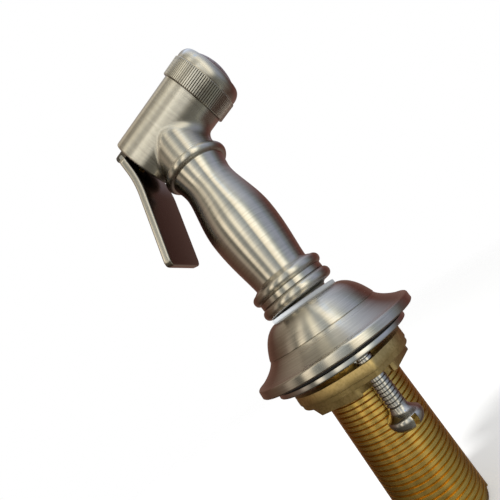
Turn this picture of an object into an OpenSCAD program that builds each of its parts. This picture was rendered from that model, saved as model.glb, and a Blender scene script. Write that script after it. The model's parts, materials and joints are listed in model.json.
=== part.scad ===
// Deck-mounted hand sprayer standing in its bell-shaped holder.
// Millimetres, +Z up. The origin lies on the shank's axis, in the plane where the rim meets the
// deck. The spray points to +X, the lever hangs on the -X side, and XZ is the plane of symmetry.

/* [Escutcheon] */
// Radius of the rim that stands on the deck
rim_r = 33.4; // [32:0.1:38]
// Height of the rim's upright band
rim_band = 3.4; // [2.4:0.1:4.4]
// Radius at the seam between the flared base and the bell
seam_r = 23.9; // [23.2:0.1:26]
// Height of the seam over the deck
seam_z = 9.2; // [8:0.1:11]
// Radius of the bell's flat top
bell_top_r = 14.95; // [14.6:0.05:16]
// Height of the bell's flat top over the deck
bell_top_z = 19.9; // [18.5:0.1:24]
// Thickness of the lip that closes the bell's top
bell_lip = 2.2; // [1.6:0.1:3]
// Thickness of the base's floor web
web_t = 2.2; // [1.6:0.1:3]
// Radius of the gasket under the base
gasket_r = 28; // [26:0.1:29]
// How deep the gasket sits in the base
gasket_recess = 0.8; // [0.5:0.1:1.2]
// How far the gasket stands out below the rim
gasket_proud = 1.47; // [0.8:0.01:2]

/* [Shank] */
// Outer radius of the threaded shank
shank_r = 15.1; // [14.9:0.05:15.4]
// Radius of the shank's bore
shank_bore_r = 12.5; // [12.4:0.05:12.8]
// How much wider the bore is where the guide bush turns
shank_seat_step = 0.3; // [0.2:0.05:0.5]
// Height over the deck at which the bore widens
shank_seat_z = 4; // [1:0.1:4.4]
// Length of the shank below the deck
shank_drop = 65; // [55:0.5:80]
// Thread pitch of the shank
shank_pitch = 1.814; // [1.5:0.002:2.2]
// Thread depth of the shank
shank_thread = 1.1; // [0.7:0.05:1.3]
// Thickness of the ring nut that holds the shank in the base
ring_nut_t = 2; // [1.5:0.1:2.5]
// Gap between the ring nut and the base's wall round it
ring_nut_gap = 0.6; // [0.4:0.1:2]

/* [Guide bush] */
// Radius of the bush's flange
bush_r = 14.47; // [14:0.01:14.8]
// Thickness of the bush's flange
bush_t = 1.6; // [1.2:0.05:2.4]
// Wall of the bush's skirt
bush_wall = 0.85; // [0.6:0.05:0.9]
// Length of the bush's skirt
bush_skirt = 7.5; // [4:0.1:10]

/* [Clamp] */
// Outer radius of the clamp washer
washer_r = 27.95; // [26:0.05:28.6]
// Thickness of the clamp washer
washer_t = 1.94; // [1.4:0.02:2.4]
// Gap between the washer and the lock nut
nut_gap = 2.46; // [1:0.02:6]
// Radius of the lock nut's flange
nut_r = 23.4; // [22.8:0.1:25]
// Thickness of the lock nut's flange
nut_flange_t = 3.6; // [2.8:0.1:5]
// Thickness of the narrower band under the flange
nut_band_t = 1.76; // [1:0.02:3]
// Height of the castellated collar
nut_collar_h = 3.2; // [2:0.1:6]
// Width across the collar's eight flats
nut_flats = 39.5; // [38:0.1:41]
// Width of the two notches in the collar
nut_notch = 13; // [11:0.1:15]
// Radius of the jack screws' thread
screw_r = 3.175; // [2.9:0.005:3.4]
// Thread pitch of the jack screws
screw_pitch = 1.27; // [1:0.01:1.5]
// Length of a jack screw under its head
screw_len = 20.9; // [16:0.1:30]
// Radius of a jack screw's head
screw_head_r = 6; // [4.6:0.1:6.4]
// Height of a jack screw's head
screw_head_h = 5; // [3:0.1:6]
// Width of the screw slot
screw_slot = 1.5; // [1:0.1:2]
// Direction in which the first jack screw lies
screw_azimuth = -67; // [-180:1:180]

/* [Handset foot] */
// Lean of the handset in its holder, in degrees
lean = 3.55; // [0:0.05:4]
// Length of the tail that drops into the holder
tail_len = 17.5; // [16.6:0.1:22]
// Radius of the tail under the beads
tail_r = 10.9; // [10.4:0.05:11]
// Radius of the tail at its lower end
tail_tip_r = 9.2; // [8.9:0.05:9.4]
// Radius of the lower bead
bead_low_r = 16.04; // [15.4:0.02:17]
// Height of the lower bead
bead_low_h = 4.6; // [4:0.1:5.2]
// Radius of the groove between the beads
bead_groove_r = 14.66; // [14:0.02:15.2]
// Height of the groove between the beads
bead_groove_h = 2.1; // [1.4:0.1:3]
// Radius of the upper bead
bead_top_r = 16.16; // [15.4:0.02:17]
// Height of the upper bead
bead_top_h = 4.2; // [3.6:0.1:5]
// Height of the shoulder that leads up to the handle
shoulder_h = 1.4; // [1:0.1:2]
// Radius of the hose inlet's thread
inlet_r = 6.58; // [6.4:0.01:6.7]
// Depth of the hose inlet's thread
inlet_depth = 9; // [7:0.1:9.5]
// Radius of the waterway through the handle
waterway_r = 4.3; // [3.6:0.05:4.5]

/* [Handle] */
// Radius of the handle at its foot
handle_foot_r = 12.35; // [12:0.05:12.8]
// Radius of the handle's belly
belly_r = 14.93; // [14:0.01:16.5]
// Height of the belly over the handle's foot
belly_h = 25.9; // [22:0.1:30]
// Radius of the waist under the collar
waist_r = 11.68; // [11.4:0.01:12.6]
// Height of the waist over the belly
waist_h = 23.1; // [19:0.1:28]
// Radius of the handle at its upper seam
handle_top_r = 13; // [12.4:0.05:13.4]
// Height of the upper seam over the waist
flare_h = 7.5; // [5:0.1:10]
// Radius of the handle's bore
handle_bore_r = 9.6; // [9:0.05:9.9]
// Length of the spigots that go into the handle
spigot_len = 7; // [5:0.1:9]
// Outer radius of the water tube
tube_r = 5.5; // [5.2:0.05:5.8]

/* [Head] */
// Radius of the collar bead under the neck
collar_r = 15.34; // [14.6:0.02:16.4]
// Height of the collar bead
collar_h = 4.2; // [3.4:0.1:5]
// Radius of the neck
neck_r = 13.3; // [12.6:0.05:13.8]
// Height of the barrel's axis over the handle's upper seam
neck_h = 24.4; // [23:0.1:30]
// Upward tilt of the barrel, in degrees
head_tilt = 10.7; // [6:0.1:14]
// Radius of the barrel
barrel_r = 14.41; // [14:0.01:15]
// Length of the barrel behind the neck's axis
barrel_back = 17.9; // [16.5:0.1:20]
// Length of the barrel in front of the neck's axis
barrel_front = 18.64; // [17:0.02:21]
// Rounding of the barrel's rear edge
barrel_round = 1; // [0.6:0.1:1.6]

/* [Nozzle cap] */
// Radius over the knurled ring
knurl_r = 15.61; // [15.4:0.01:16.4]
// Length of the knurled ring
knurl_len = 9.16; // [7:0.02:12]
// Number of flutes in the knurl
knurl_count = 100; // [60:2:130]
// Depth of a flute
knurl_depth = 0.42; // [0.2:0.02:0.5]
// Length of the plain band in front of the knurl
cap_band = 2.5; // [1.5:0.1:5]
// Length of the cap's rounded shoulder
cap_shoulder = 4.86; // [3.6:0.02:7]
// Radius of the rim round the spray face
cap_rim_r = 12.17; // [11.9:0.01:12.8]
// Radius of the spray face
face_r = 11.6; // [11.2:0.05:11.7]
// How far the spray face bulges
face_dome = 1.7; // [0.8:0.1:2.4]
// Radius of one spray hole
jet_r = 0.45; // [0.3:0.05:0.7]
// Distance between rings of spray holes
jet_ring = 2.9; // [2.4:0.05:3.1]
// Radius of the threaded spigot that carries the cap
cap_spigot_r = 12.9; // [12.6:0.05:13.2]
// Length of that spigot
cap_spigot_len = 8.4; // [7.6:0.1:9]

/* [Lever] */
// Width of the lever
lever_w = 28.6; // [24:0.1:32]
// Thickness of the lever
lever_t = 3.2; // [2.4:0.1:3.4]
// Gap between the lever and the barrel's back, on the barrel's axis
lever_gap = 1.11; // [1.05:0.01:1.6]
// Height of the lever's bend below the barrel's axis
lever_bend_drop = 8.7; // [7:0.1:11]
// Inside radius of the lever's bend
lever_bend_r = 44.7; // [30:0.1:60]
// Angle of the lever's bend, in degrees
lever_angle = 16.3; // [12:0.1:20]
// Length of the straight grip below the bend
lever_leg = 32.4; // [26:0.1:36]
// Corner radius at the lever's end
lever_corner = 3; // [1:0.1:5]
// Radius of the lever pin
pin_r = 1.25; // [1:0.05:1.5]
// Distance of the pin behind the neck's axis, along the barrel
pin_back = 20.88; // [20.7:0.02:21.6]
// Height of the pin over the barrel's axis, square to the barrel
pin_up = 6.39; // [6:0.02:6.8]

/* [Valve] */
// Radius of the bonnet that closes the barrel
bonnet_r = 11.55; // [11:0.05:12]
// Length of the bonnet's plug
bonnet_len = 9.5; // [8:0.1:11]
// Radius of the water chamber
chamber_r = 9.5; // [9:0.1:10]
// Place of the valve seat's front face, along the barrel
seat_front = 6.5; // [5.5:0.1:8]
// Radius of the hole in the valve seat
seat_hole_r = 4; // [3.4:0.1:4.6]
// Radius of the valve stem
stem_r = 2; // [1.6:0.05:2.2]
// Radius of the poppet
poppet_r = 6; // [5.6:0.1:6.6]
// Wire radius of the valve spring
spring_wire_r = 0.45; // [0.35:0.05:0.6]
// Turns of the valve spring
spring_turns = 6; // [4:1:7]

/* [Hidden] */
$fn = 96;

// Clearances: eps for a piece seated in another, run for one that turns or slides in another
eps = 0.05;
run = 0.1;
loose = 0.3;
// Overlap that keeps cuts and unions clean
cut = 1;

// Holder, from the deck up
recess_r = gasket_r + loose;
base_bore_r = shank_r + run;
web_top = gasket_recess + web_t;
spigot_step = 2.2;
spigot_r = seam_r - spigot_step;
spigot_wall = 1.1;
spigot_h = 1.8;
edge_round = 0.8;
seam_round = 0.15;
// Where the curves of the flared base and of the bell head from their ends
rim_pull = [-3.8, 1.1];
seam_pull = [-1.1, 2.2];
bell_low_pull = [-1.5, 4.3];
bell_top_pull = [-4.9, 1.3];
ring_nut_r = spigot_r - spigot_wall - ring_nut_gap;
shank_seat_r = shank_bore_r + shank_seat_step;
bell_hole_r = shank_seat_r + 0.25;
shank_top = bell_top_z - bell_lip - run;
bell_collar_h = 4.2;
bush_top = bell_top_z + eps + bush_t;
bush_out_r = shank_seat_r - eps;

// Clamp, from the deck down
washer_top = -gasket_proud - run;
washer_low = washer_top - washer_t;
nut_top = washer_low - nut_gap;
nut_collar_top = nut_top - nut_flange_t - nut_band_t;
nut_low = nut_collar_top - nut_collar_h;
nut_collar_r = nut_r - 2.1;
nut_band_r = nut_r - 0.5;
screw_circle = shank_r + screw_head_r + 0.2;
screw_boss_r = screw_r + 0.95;
screw_tip = washer_low - run;
screw_thread = 0.7;
thread_start = 4;
thread_end = 4;

// Handset foot, in the handset's own frame: h is its height along the handle
foot_r = 13.6;
foot_drop = 0.35;
seat_z = bush_top + foot_r * sin(lean) + foot_drop + 0.16;
groove_low = bead_low_h - foot_drop;
groove_top = groove_low + bead_groove_h;
bead_top_top = groove_top + bead_top_h;
handle_low = bead_top_top + shoulder_h;
washer_seal_t = 1.5;
screen_t = 0.75;
inlet_seat_r = inlet_r - 0.18;
inlet_seat_h = inlet_depth - tail_len;
inlet_washer_low = inlet_seat_h + 0.15;
screen_low = inlet_washer_low + washer_seal_t;
inlet_end = screen_low + screen_t + eps;

// Handle, with how far each curve of its outline runs on along the axis from its ends
belly_at = handle_low + belly_h;
waist_at = belly_at + waist_h;
handle_top = waist_at + flare_h;
foot_pull = 0.247 * belly_h;
belly_low_pull = 0.425 * belly_h;
belly_top_pull = 0.368 * waist_h;
waist_low_pull = 0.242 * waist_h;
waist_top_pull = 0.32 * flare_h;
flare_pull = 0.347 * flare_h;
foot_bulge = 0.55;
flare_in = 0.6;
spigot_fit_r = handle_bore_r - eps;
tube_low = handle_low - 1;
tube_top = handle_top + 3;
tube_fit_r = tube_r + eps;
seal_ring_r = 0.75;
seal_groove_r = tube_r + 2 * seal_ring_r + 2 * eps;
seal_low_at = handle_low + spigot_len / 2;
seal_top_at = handle_top - spigot_len / 2;

// Head: distances along the barrel start at the neck's axis and grow towards the spray
head_h = handle_top + neck_h;
collar_top = handle_top + collar_h;
neck_top = head_h - 4;
spigot_front = barrel_front + cap_spigot_len;
bonnet_rear = 0.3 - barrel_back;
bonnet_front = bonnet_rear + bonnet_len;
bonnet_bore_r = bonnet_r + eps;
seat_t = 2.5;
throat_r = 8;
disc_at = barrel_front + 0.4;
disc_t = 1.6;
disc_bore_r = 10.4;

// Nozzle cap
cap_rear = barrel_front + run;
knurl_front = cap_rear + knurl_len;
cap_r = knurl_r - knurl_depth - 0.04;
shoulder_rear = knurl_front + cap_band;
cap_front = shoulder_rear + cap_shoulder;
face_gasket_t = 1.3;
cap_stop = spigot_front + eps + face_gasket_t;
face_sink = 1.3;
face_edge = cap_front - face_sink;
face_t = 1.5;
face_step = 2.2;
face_seat = cap_stop + face_step;
face_lip = 1;
face_ball_r = (face_r * face_r + face_dome * face_dome) / (2 * face_dome);

// Valve
washer_disc_t = 1.5;
poppet_rear = seat_front + eps + washer_disc_t;
poppet_t = 1.8;
poppet_front = poppet_rear + poppet_t;
spring_r = 4.6;
spring_free = 1.2;
spring_low = poppet_front + spring_wire_r;
spring_high = disc_at - spring_free - spring_wire_r;
spring_steps = 12;
spring_sides = 6;
stem_seal_r = 0.7;
stem_seal_groove = stem_r + 2 * stem_seal_r + eps;
stem_seal_pitch = 3.2;

// Lever, in the handset's own frame
lever_face_x = -barrel_back * cos(head_tilt) - lever_gap;
lever_bend_h = head_h - lever_bend_drop;
lever_top = head_h - 1.2;
lever_bend = [lever_face_x - lever_bend_r, lever_bend_h];
lever_dir = [-sin(lever_angle), -cos(lever_angle)];
lever_in_end = lever_bend + lever_bend_r * [cos(lever_angle), -sin(lever_angle)];
lever_out_end = lever_bend + (lever_bend_r - lever_t) * [cos(lever_angle), -sin(lever_angle)];
lever_low = lever_in_end[1] + lever_leg * lever_dir[1];
pin_x = -pin_back * cos(head_tilt) - pin_up * sin(head_tilt);
pin_h = head_h - pin_back * sin(head_tilt) + pin_up * cos(head_tilt);
pin_hole_r = pin_r + eps;
boss_r = 2.5;
tongue_w = 10;
lug_in = tongue_w / 2 + 0.4;
lug_w = 2.8;

// The stem's round end lies against the lever's inner face
stem_end_gap = 0.06;
stem_ball_at = (lever_face_x + stem_r + stem_end_gap) / cos(head_tilt);

// Points on a cubic curve, its first point left out
function curve(p, n = 12) = [for (i = [1:n]) let (t = i / n, u = 1 - t)
    u * u * u * p[0] + 3 * u * u * t * p[1] + 3 * u * t * t * p[2] + t * t * t * p[3]];

// Points on an elliptical arc round c, with half-axes a
function arc(c, a, from, to, n = 8) = [for (i = [0:n]) let (t = from + (to - from) * i / n)
    [c[0] + a[0] * cos(t), c[1] + a[1] * sin(t)]];

// A bead that bulges from base radius to top radius between two heights
function bead(base, top, low, high) =
    arc([base, (low + high) / 2], [top - base, (high - low) / 2], -90, 90, 14);

// The outer side of a thread, as rings, from the lower end up
function rings(r, depth, pitch, low, high) = [for (i = [0:floor((high - low) / pitch) - 1])
    each [[r - depth, low + i * pitch], [r - depth, low + (i + 0.15) * pitch],
          [r, low + (i + 0.45) * pitch], [r, low + (i + 0.7) * pitch],
          [r - depth, low + (i + 0.999) * pitch]]];

module tube(r_out, r_in, low, high) {
    difference() {
        translate([0, 0, low]) cylinder(r = r_out, h = high - low);
        translate([0, 0, low - cut]) cylinder(r = r_in, h = high - low + 2 * cut);
    }
}

module ring_seal(r, ring_r, at) {
    translate([0, 0, at]) rotate_extrude() translate([r, 0]) circle(r = ring_r, $fn = 24);
}

// The handset's frame, leaning on its seat, and the barrel's frame on it
module on_handset() {
    translate([0, 0, seat_z]) rotate([0, -lean, 0]) children();
}

module on_barrel() {
    on_handset() translate([0, 0, head_h]) rotate([0, 90 - head_tilt, 0]) children();
}

// ---- Holder ----

module escutcheon_base() {
    color("#b4afa4") rotate_extrude() polygon(concat(
        [[recess_r, 0], [rim_r - edge_round / 2, 0], [rim_r, edge_round / 2]],
        arc([rim_r - edge_round, rim_band - edge_round], [edge_round, edge_round], 0, 75),
        curve([[rim_r - edge_round, rim_band], [rim_r - edge_round, rim_band] + rim_pull,
               [seam_r, seam_z] - seam_pull, [seam_r, seam_z - seam_round]]),
        [[seam_r - seam_round, seam_z], [spigot_r, seam_z], [spigot_r, seam_z + spigot_h],
         [spigot_r - spigot_wall, seam_z + spigot_h], [spigot_r - spigot_wall, web_top],
         [base_bore_r, web_top], [base_bore_r, gasket_recess], [recess_r, gasket_recess]]));
}

module escutcheon_top() {
    color("#b4afa4") rotate_extrude() polygon(concat(
        [[spigot_r + eps, seam_z], [seam_r - seam_round, seam_z], [seam_r, seam_z + seam_round]],
        curve([[seam_r, seam_z + seam_round], [seam_r, seam_z] + bell_low_pull,
               [bell_top_r, bell_top_z] - bell_top_pull, [bell_top_r, bell_top_z]], 16),
        [[bell_hole_r, bell_top_z], [bell_hole_r, bell_top_z - bell_lip],
         [shank_r + eps, bell_top_z - bell_lip],
         [shank_r + eps, bell_top_z - bell_lip - bell_collar_h],
         [spigot_r - 1.6, seam_z + spigot_h + 1.2],
         [spigot_r + eps, seam_z + spigot_h + run]]));
}

module shank() {
    color("#a07a3c") rotate_extrude() polygon(concat(
        [[shank_seat_r, shank_top], [shank_seat_r, shank_seat_z],
         [shank_bore_r, shank_seat_z], [shank_bore_r, -shank_drop + 0.6],
         [shank_bore_r + 0.6, -shank_drop], [shank_r - shank_thread, -shank_drop]],
        rings(shank_r, shank_thread, shank_pitch, -shank_drop + thread_end, -thread_start),
        [[shank_r - shank_thread, -thread_start + 0.2], [shank_r, -thread_start + 1.2],
         [shank_r, shank_top]]));
}

module ring_nut() {
    slot_w = 4;
    slot_depth = 2;
    color("#a07a3c") difference() {
        tube(ring_nut_r, shank_r + eps, web_top, web_top + ring_nut_t);
        for (turn = [0:90:270])
            rotate([0, 0, turn]) translate([ring_nut_r - slot_depth, -slot_w / 2, web_top - cut])
                cube([slot_depth + cut, slot_w, ring_nut_t + 2 * cut]);
    }
}

module base_gasket() {
    color("#1b1b1c") tube(gasket_r, shank_r + 0.6, -gasket_proud, gasket_recess);
}

module guide_bush() {
    color("#dfe4ea") rotate_extrude() polygon(concat(
        [[bush_out_r - bush_wall, bush_top - 0.4], [bush_out_r - bush_wall + 0.4, bush_top]],
        arc([bush_r - 0.5, bush_top - 0.5], [0.5, 0.5], 90, 0, 6),
        [[bush_r, bush_top - bush_t], [bush_out_r, bush_top - bush_t],
         [bush_out_r, bush_top - bush_t - bush_skirt],
         [bush_out_r - bush_wall, bush_top - bush_t - bush_skirt]]));
}

// ---- Clamp under the deck ----

module clamp_washer() {
    color("#c9c8c4") rotate_extrude() polygon([
        [shank_r + 0.5, washer_low], [washer_r - 0.3, washer_low], [washer_r, washer_low + 0.3],
        [washer_r, washer_top - 0.3], [washer_r - 0.3, washer_top], [shank_r + 0.5, washer_top]]);
}

module at_screws() {
    for (turn = [0, 180])
        rotate([0, 0, screw_azimuth + turn]) translate([screw_circle, 0, 0]) children();
}

// A disc that bulges round each jack screw, with straight sides from disc to bulge
module nut_outline(r, bulge_r) {
    lean_in = acos((r - bulge_r) / screw_circle);
    circle(r = r);
    for (turn = [0, 180]) rotate(screw_azimuth + turn) {
        translate([screw_circle, 0]) circle(r = bulge_r);
        polygon([[0, 0], r * [cos(lean_in), -sin(lean_in)],
                 [screw_circle + bulge_r * cos(lean_in), -bulge_r * sin(lean_in)],
                 [screw_circle + bulge_r * cos(lean_in), bulge_r * sin(lean_in)],
                 r * [cos(lean_in), sin(lean_in)]]);
    }
}

// The collar's eight flats with their corners turned round, and a notch at each jack screw
module collar_outline() {
    notch_in = screw_circle - screw_r - 0.6;
    difference() {
        intersection() {
            circle(r = nut_collar_r);
            circle(r = nut_flats / 2 / cos(22.5), $fn = 8);
        }
        for (turn = [0, 180]) rotate(screw_azimuth + turn)
            translate([notch_in, -nut_notch / 2]) square([nut_r, nut_notch]);
    }
}

module lock_nut() {
    color("#a88f5a") difference() {
        union() {
            translate([0, 0, nut_top - nut_flange_t]) linear_extrude(nut_flange_t)
                nut_outline(nut_r, screw_boss_r);
            translate([0, 0, nut_collar_top]) linear_extrude(nut_band_t + nut_flange_t / 2)
                nut_outline(nut_band_r, screw_boss_r - 0.4);
            translate([0, 0, nut_low]) linear_extrude(nut_collar_h + cut) collar_outline();
        }
        translate([0, 0, nut_low - cut]) cylinder(r = base_bore_r, h = nut_top - nut_low + 2 * cut);
        at_screws() translate([0, 0, nut_low - cut])
            cylinder(r = screw_r + eps, h = nut_top - nut_low + 2 * cut);
    }
}

module jack_screw() {
    head_top = screw_tip - screw_len;
    difference() {
        rotate_extrude() polygon(concat(
            [[0, head_top - screw_head_h]],
            arc([screw_head_r - 2, head_top - screw_head_h + 2], [2, 2], -90, 0, 8),
            [[screw_head_r, head_top - 0.3], [screw_head_r - 0.3, head_top],
             [screw_r, head_top]],
            rings(screw_r, screw_thread, screw_pitch, head_top + 0.5, screw_tip - 0.8),
            [[screw_r - 0.9, screw_tip], [0, screw_tip]]));
        translate([-screw_head_r - cut, -screw_slot / 2, head_top - screw_head_h - cut])
            cube([2 * screw_head_r + 2 * cut, screw_slot, cut + 2]);
    }
}

module jack_screws() {
    color("#bdb8ae") at_screws() rotate([0, 0, 35]) jack_screw();
}

// ---- Handset: foot and handle ----

module hose_coupling() {
    color("#b4afa4") on_handset() rotate_extrude() polygon(concat(
        [[inlet_r, -tail_len], [tail_tip_r - 0.5, -tail_len], [tail_tip_r, -tail_len + 0.5],
         [tail_r, -3], [tail_r - 0.1, -1.8]],
        curve([[tail_r - 0.1, -1.8], [tail_r + 0.05, -foot_drop - 0.2],
               [foot_r - 1.2, -foot_drop - 0.05], [foot_r, -foot_drop]], 6),
        bead(foot_r + 0.3, bead_low_r, -foot_drop + 0.05, groove_low - 0.1),
        [[bead_groove_r, groove_low], [bead_groove_r, groove_top]],
        bead(bead_groove_r - 0.36, bead_top_r, groove_top + 0.05, bead_top_top),
        curve([[bead_groove_r - 0.36, bead_top_top], [bead_groove_r - 0.8, bead_top_top + 0.6],
               [handle_foot_r + 0.3, handle_low - 0.6], [handle_foot_r, handle_low]], 6),
        [[spigot_fit_r, handle_low], [spigot_fit_r, handle_low + spigot_len],
         [tube_fit_r, handle_low + spigot_len],
         [tube_fit_r, seal_low_at + seal_ring_r + eps],
         [seal_groove_r, seal_low_at + seal_ring_r + eps],
         [seal_groove_r, seal_low_at - seal_ring_r - eps],
         [tube_fit_r, seal_low_at - seal_ring_r - eps],
         [tube_fit_r, tube_low], [waterway_r, tube_low], [waterway_r, inlet_end],
         [inlet_seat_r, inlet_end], [inlet_seat_r, inlet_seat_h], [inlet_r, inlet_seat_h]]));
}

module inlet_washer() {
    color("#2a2a2b") on_handset()
        tube(inlet_seat_r - eps, waterway_r, inlet_washer_low, screen_low);
}

module filter_screen() {
    color("#9fa3a6") on_handset() difference() {
        translate([0, 0, screen_low]) cylinder(r = inlet_seat_r - eps, h = screen_t);
        for (ring = [0:3])
            for (i = [0:max(1, 6 * ring) - 1])
                rotate([0, 0, i * 360 / max(1, 6 * ring)])
                    translate([1.2 * ring, 0, screen_low - cut])
                        cylinder(r = 0.4, h = screen_t + 2 * cut, $fn = 16);
    }
}

module handle_sleeve() {
    color("#b4afa4") on_handset() rotate_extrude() polygon(concat(
        [[handle_bore_r, handle_low], [handle_foot_r, handle_low]],
        curve([[handle_foot_r, handle_low], [handle_foot_r + foot_bulge, handle_low + foot_pull],
               [belly_r, belly_at - belly_low_pull], [belly_r, belly_at]], 16),
        curve([[belly_r, belly_at], [belly_r, belly_at + belly_top_pull],
               [waist_r, waist_at - waist_low_pull], [waist_r, waist_at]], 16),
        curve([[waist_r, waist_at], [waist_r, waist_at + waist_top_pull],
               [handle_top_r - flare_in, handle_top - flare_pull], [handle_top_r, handle_top]], 10),
        [[handle_bore_r, handle_top]]));
}

module water_tube() {
    color("#c8a165") on_handset() tube(tube_r, waterway_r, tube_low + eps, tube_top);
}

module tube_seals() {
    color("#222222") on_handset() {
        ring_seal(tube_fit_r + seal_ring_r, seal_ring_r, seal_low_at);
        ring_seal(tube_fit_r + seal_ring_r, seal_ring_r, seal_top_at);
    }
}

// ---- Head ----

module head_body() {
    color("#b4afa4") difference() {
        union() {
            on_handset() rotate_extrude() polygon(concat(
                [[0, handle_top - spigot_len], [spigot_fit_r, handle_top - spigot_len],
                 [spigot_fit_r, handle_top], [handle_top_r, handle_top]],
                bead(handle_top_r + 0.5, collar_r, handle_top + 0.05, collar_top),
                curve([[handle_top_r + 0.5, collar_top], [neck_r, collar_top + 1.6],
                       [neck_r, collar_top + 2.4], [neck_r, collar_top + 4]], 8),
                [[neck_r, neck_top], [0, neck_top]]));
            on_barrel() rotate_extrude() polygon(concat(
                [[0, -barrel_back]],
                arc([barrel_r - barrel_round, barrel_round - barrel_back],
                    [barrel_round, barrel_round], -90, 0),
                [[barrel_r, barrel_front], [cap_spigot_r, barrel_front],
                 [cap_spigot_r, spigot_front], [0, spigot_front]]));
        }
        on_handset() {
            translate([0, 0, handle_top - spigot_len - cut])
                cylinder(r = tube_fit_r, h = spigot_len + cut + tube_top - handle_top + eps);
            translate([0, 0, seal_top_at - seal_ring_r - eps])
                cylinder(r = seal_groove_r, h = 2 * seal_ring_r + 2 * eps);
            translate([0, 0, tube_top - cut]) cylinder(r = waterway_r, h = head_h - tube_top);
        }
        on_barrel() {
            translate([0, 0, -barrel_back - cut])
                cylinder(r = bonnet_bore_r, h = cut + barrel_back + bonnet_front);
            translate([0, 0, bonnet_front - cut])
                cylinder(r = chamber_r, h = cut + seat_front - bonnet_front);
            translate([0, 0, seat_front - cut])
                cylinder(r = throat_r, h = cut + disc_at - seat_front + cut);
            translate([0, 0, disc_at]) cylinder(r = disc_bore_r, h = spigot_front);
        }
    }
}

module rear_bonnet() {
    lug_low = pin_up - 1.8;
    color("#a9a49a") on_barrel() {
        difference() {
            union() {
                translate([0, 0, bonnet_rear]) cylinder(r = bonnet_r, h = bonnet_len);
                intersection() {
                    translate([0, 0, -2 * pin_back]) cylinder(r = bonnet_r, h = 2 * pin_back);
                    for (side = [-1, 1])
                        translate([0, side * (lug_in + lug_w / 2), 0]) {
                            translate([-pin_up, 0, -pin_back]) rotate([90, 0, 0])
                                cylinder(r = boss_r, h = lug_w, center = true);
                            translate([-pin_up - boss_r, -lug_w / 2, -pin_back])
                                cube([boss_r + pin_up - lug_low, lug_w,
                                      pin_back + bonnet_rear + cut]);
                        }
                }
            }
            translate([0, 0, bonnet_rear - cut])
                cylinder(r = stem_r + eps, h = bonnet_len + 2 * cut);
            for (i = [0, 1])
                translate([0, 0, seal_at(i) - stem_seal_r - eps])
                    cylinder(r = stem_seal_groove, h = 2 * stem_seal_r + 2 * eps);
            translate([-pin_up, 0, -pin_back]) rotate([90, 0, 0])
                cylinder(r = pin_r + eps / 2, h = 4 * lug_in, center = true);
        }
    }
}

function seal_at(i) = bonnet_front - 2 - i * stem_seal_pitch;

module stem_seals() {
    color("#222222") on_barrel() for (i = [0, 1])
        ring_seal(stem_r + eps / 2 + stem_seal_r, stem_seal_r, seal_at(i));
}

module valve_seat() {
    color("#c8a165") on_barrel()
        tube(chamber_r - eps, seat_hole_r, seat_front - seat_t, seat_front);
}

module flow_disc() {
    color("#d8d8d4") on_barrel() difference() {
        translate([0, 0, disc_at]) cylinder(r = disc_bore_r - eps, h = disc_t);
        for (i = [0:7])
            rotate([0, 0, 45 * i]) translate([throat_r - 1.8, 0, disc_at - cut])
                cylinder(r = 1.2, h = disc_t + 2 * cut, $fn = 24);
    }
}

// ---- Lever ----

module lever_profile() {
    tip_in = lever_in_end + lever_leg * lever_dir;
    tip_out = lever_out_end + lever_leg * lever_dir;
    polygon(concat(
        [[lever_face_x, lever_top - 0.8]],
        arc(lever_bend, [lever_bend_r, lever_bend_r], 0, -lever_angle, 10),
        [tip_in - 0.5 * lever_dir, tip_in + 0.2 * (tip_out - tip_in),
         tip_out + 0.2 * (tip_in - tip_out), tip_out - 0.5 * lever_dir],
        arc(lever_bend, [lever_bend_r - lever_t, lever_bend_r - lever_t], -lever_angle, 0, 10),
        [[lever_face_x - lever_t, lever_top - 1.4], [lever_face_x - lever_t + 1, lever_top],
         [lever_face_x - 0.6, lever_top]]));
}

module lever_outline() {
    half = lever_w / 2;
    low = lever_low + 0.001;
    rotate([90, 0, 90]) linear_extrude(2 * lever_bend_r, center = true) {
        translate([-half + lever_corner, low - cut])
            square([lever_w - 2 * lever_corner, lever_top - low + 2 * cut]);
        translate([-half, low + lever_corner])
            square([lever_w, lever_top - low - 2 * lever_corner]);
        for (side = [-1, 1])
            for (h = [low + lever_corner, lever_top - lever_corner])
                translate([side * (half - lever_corner), h]) circle(r = lever_corner);
    }
}

module lever() {
    color("#a39e93") on_handset() difference() {
        union() {
            intersection() {
                rotate([90, 0, 0]) linear_extrude(lever_w, center = true) lever_profile();
                lever_outline();
            }
            translate([pin_x, 0, pin_h]) rotate([90, 0, 0])
                cylinder(r = boss_r, h = tongue_w, center = true);
            translate([pin_x - boss_r + 0.4, -tongue_w / 2, lever_top - cut])
                cube([boss_r + 1, tongue_w, pin_h - lever_top + cut]);
        }
        translate([pin_x, 0, pin_h]) rotate([90, 0, 0])
            cylinder(r = pin_hole_r, h = tongue_w + 2 * cut, center = true);
    }
}

module lever_pin() {
    color("#d0cfca") on_handset() translate([pin_x, 0, pin_h]) rotate([90, 0, 0])
        cylinder(r = pin_r, h = 2 * (lug_in + lug_w), center = true);
}

// ---- Valve ----

module valve_stem() {
    color("#c8a165") on_barrel() {
        translate([0, 0, stem_ball_at]) sphere(r = stem_r);
        translate([0, 0, stem_ball_at]) cylinder(r = stem_r, h = poppet_rear - stem_ball_at);
        translate([0, 0, poppet_rear]) cylinder(r = poppet_r, h = poppet_t);
        translate([0, 0, poppet_rear]) cylinder(r = spring_r - 1, h = poppet_t + 1.5);
    }
}

module seat_washer() {
    color("#2a2a2b") on_barrel()
        tube(poppet_r - 0.2, stem_r + eps / 2, poppet_rear - washer_disc_t, poppet_rear);
}

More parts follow.
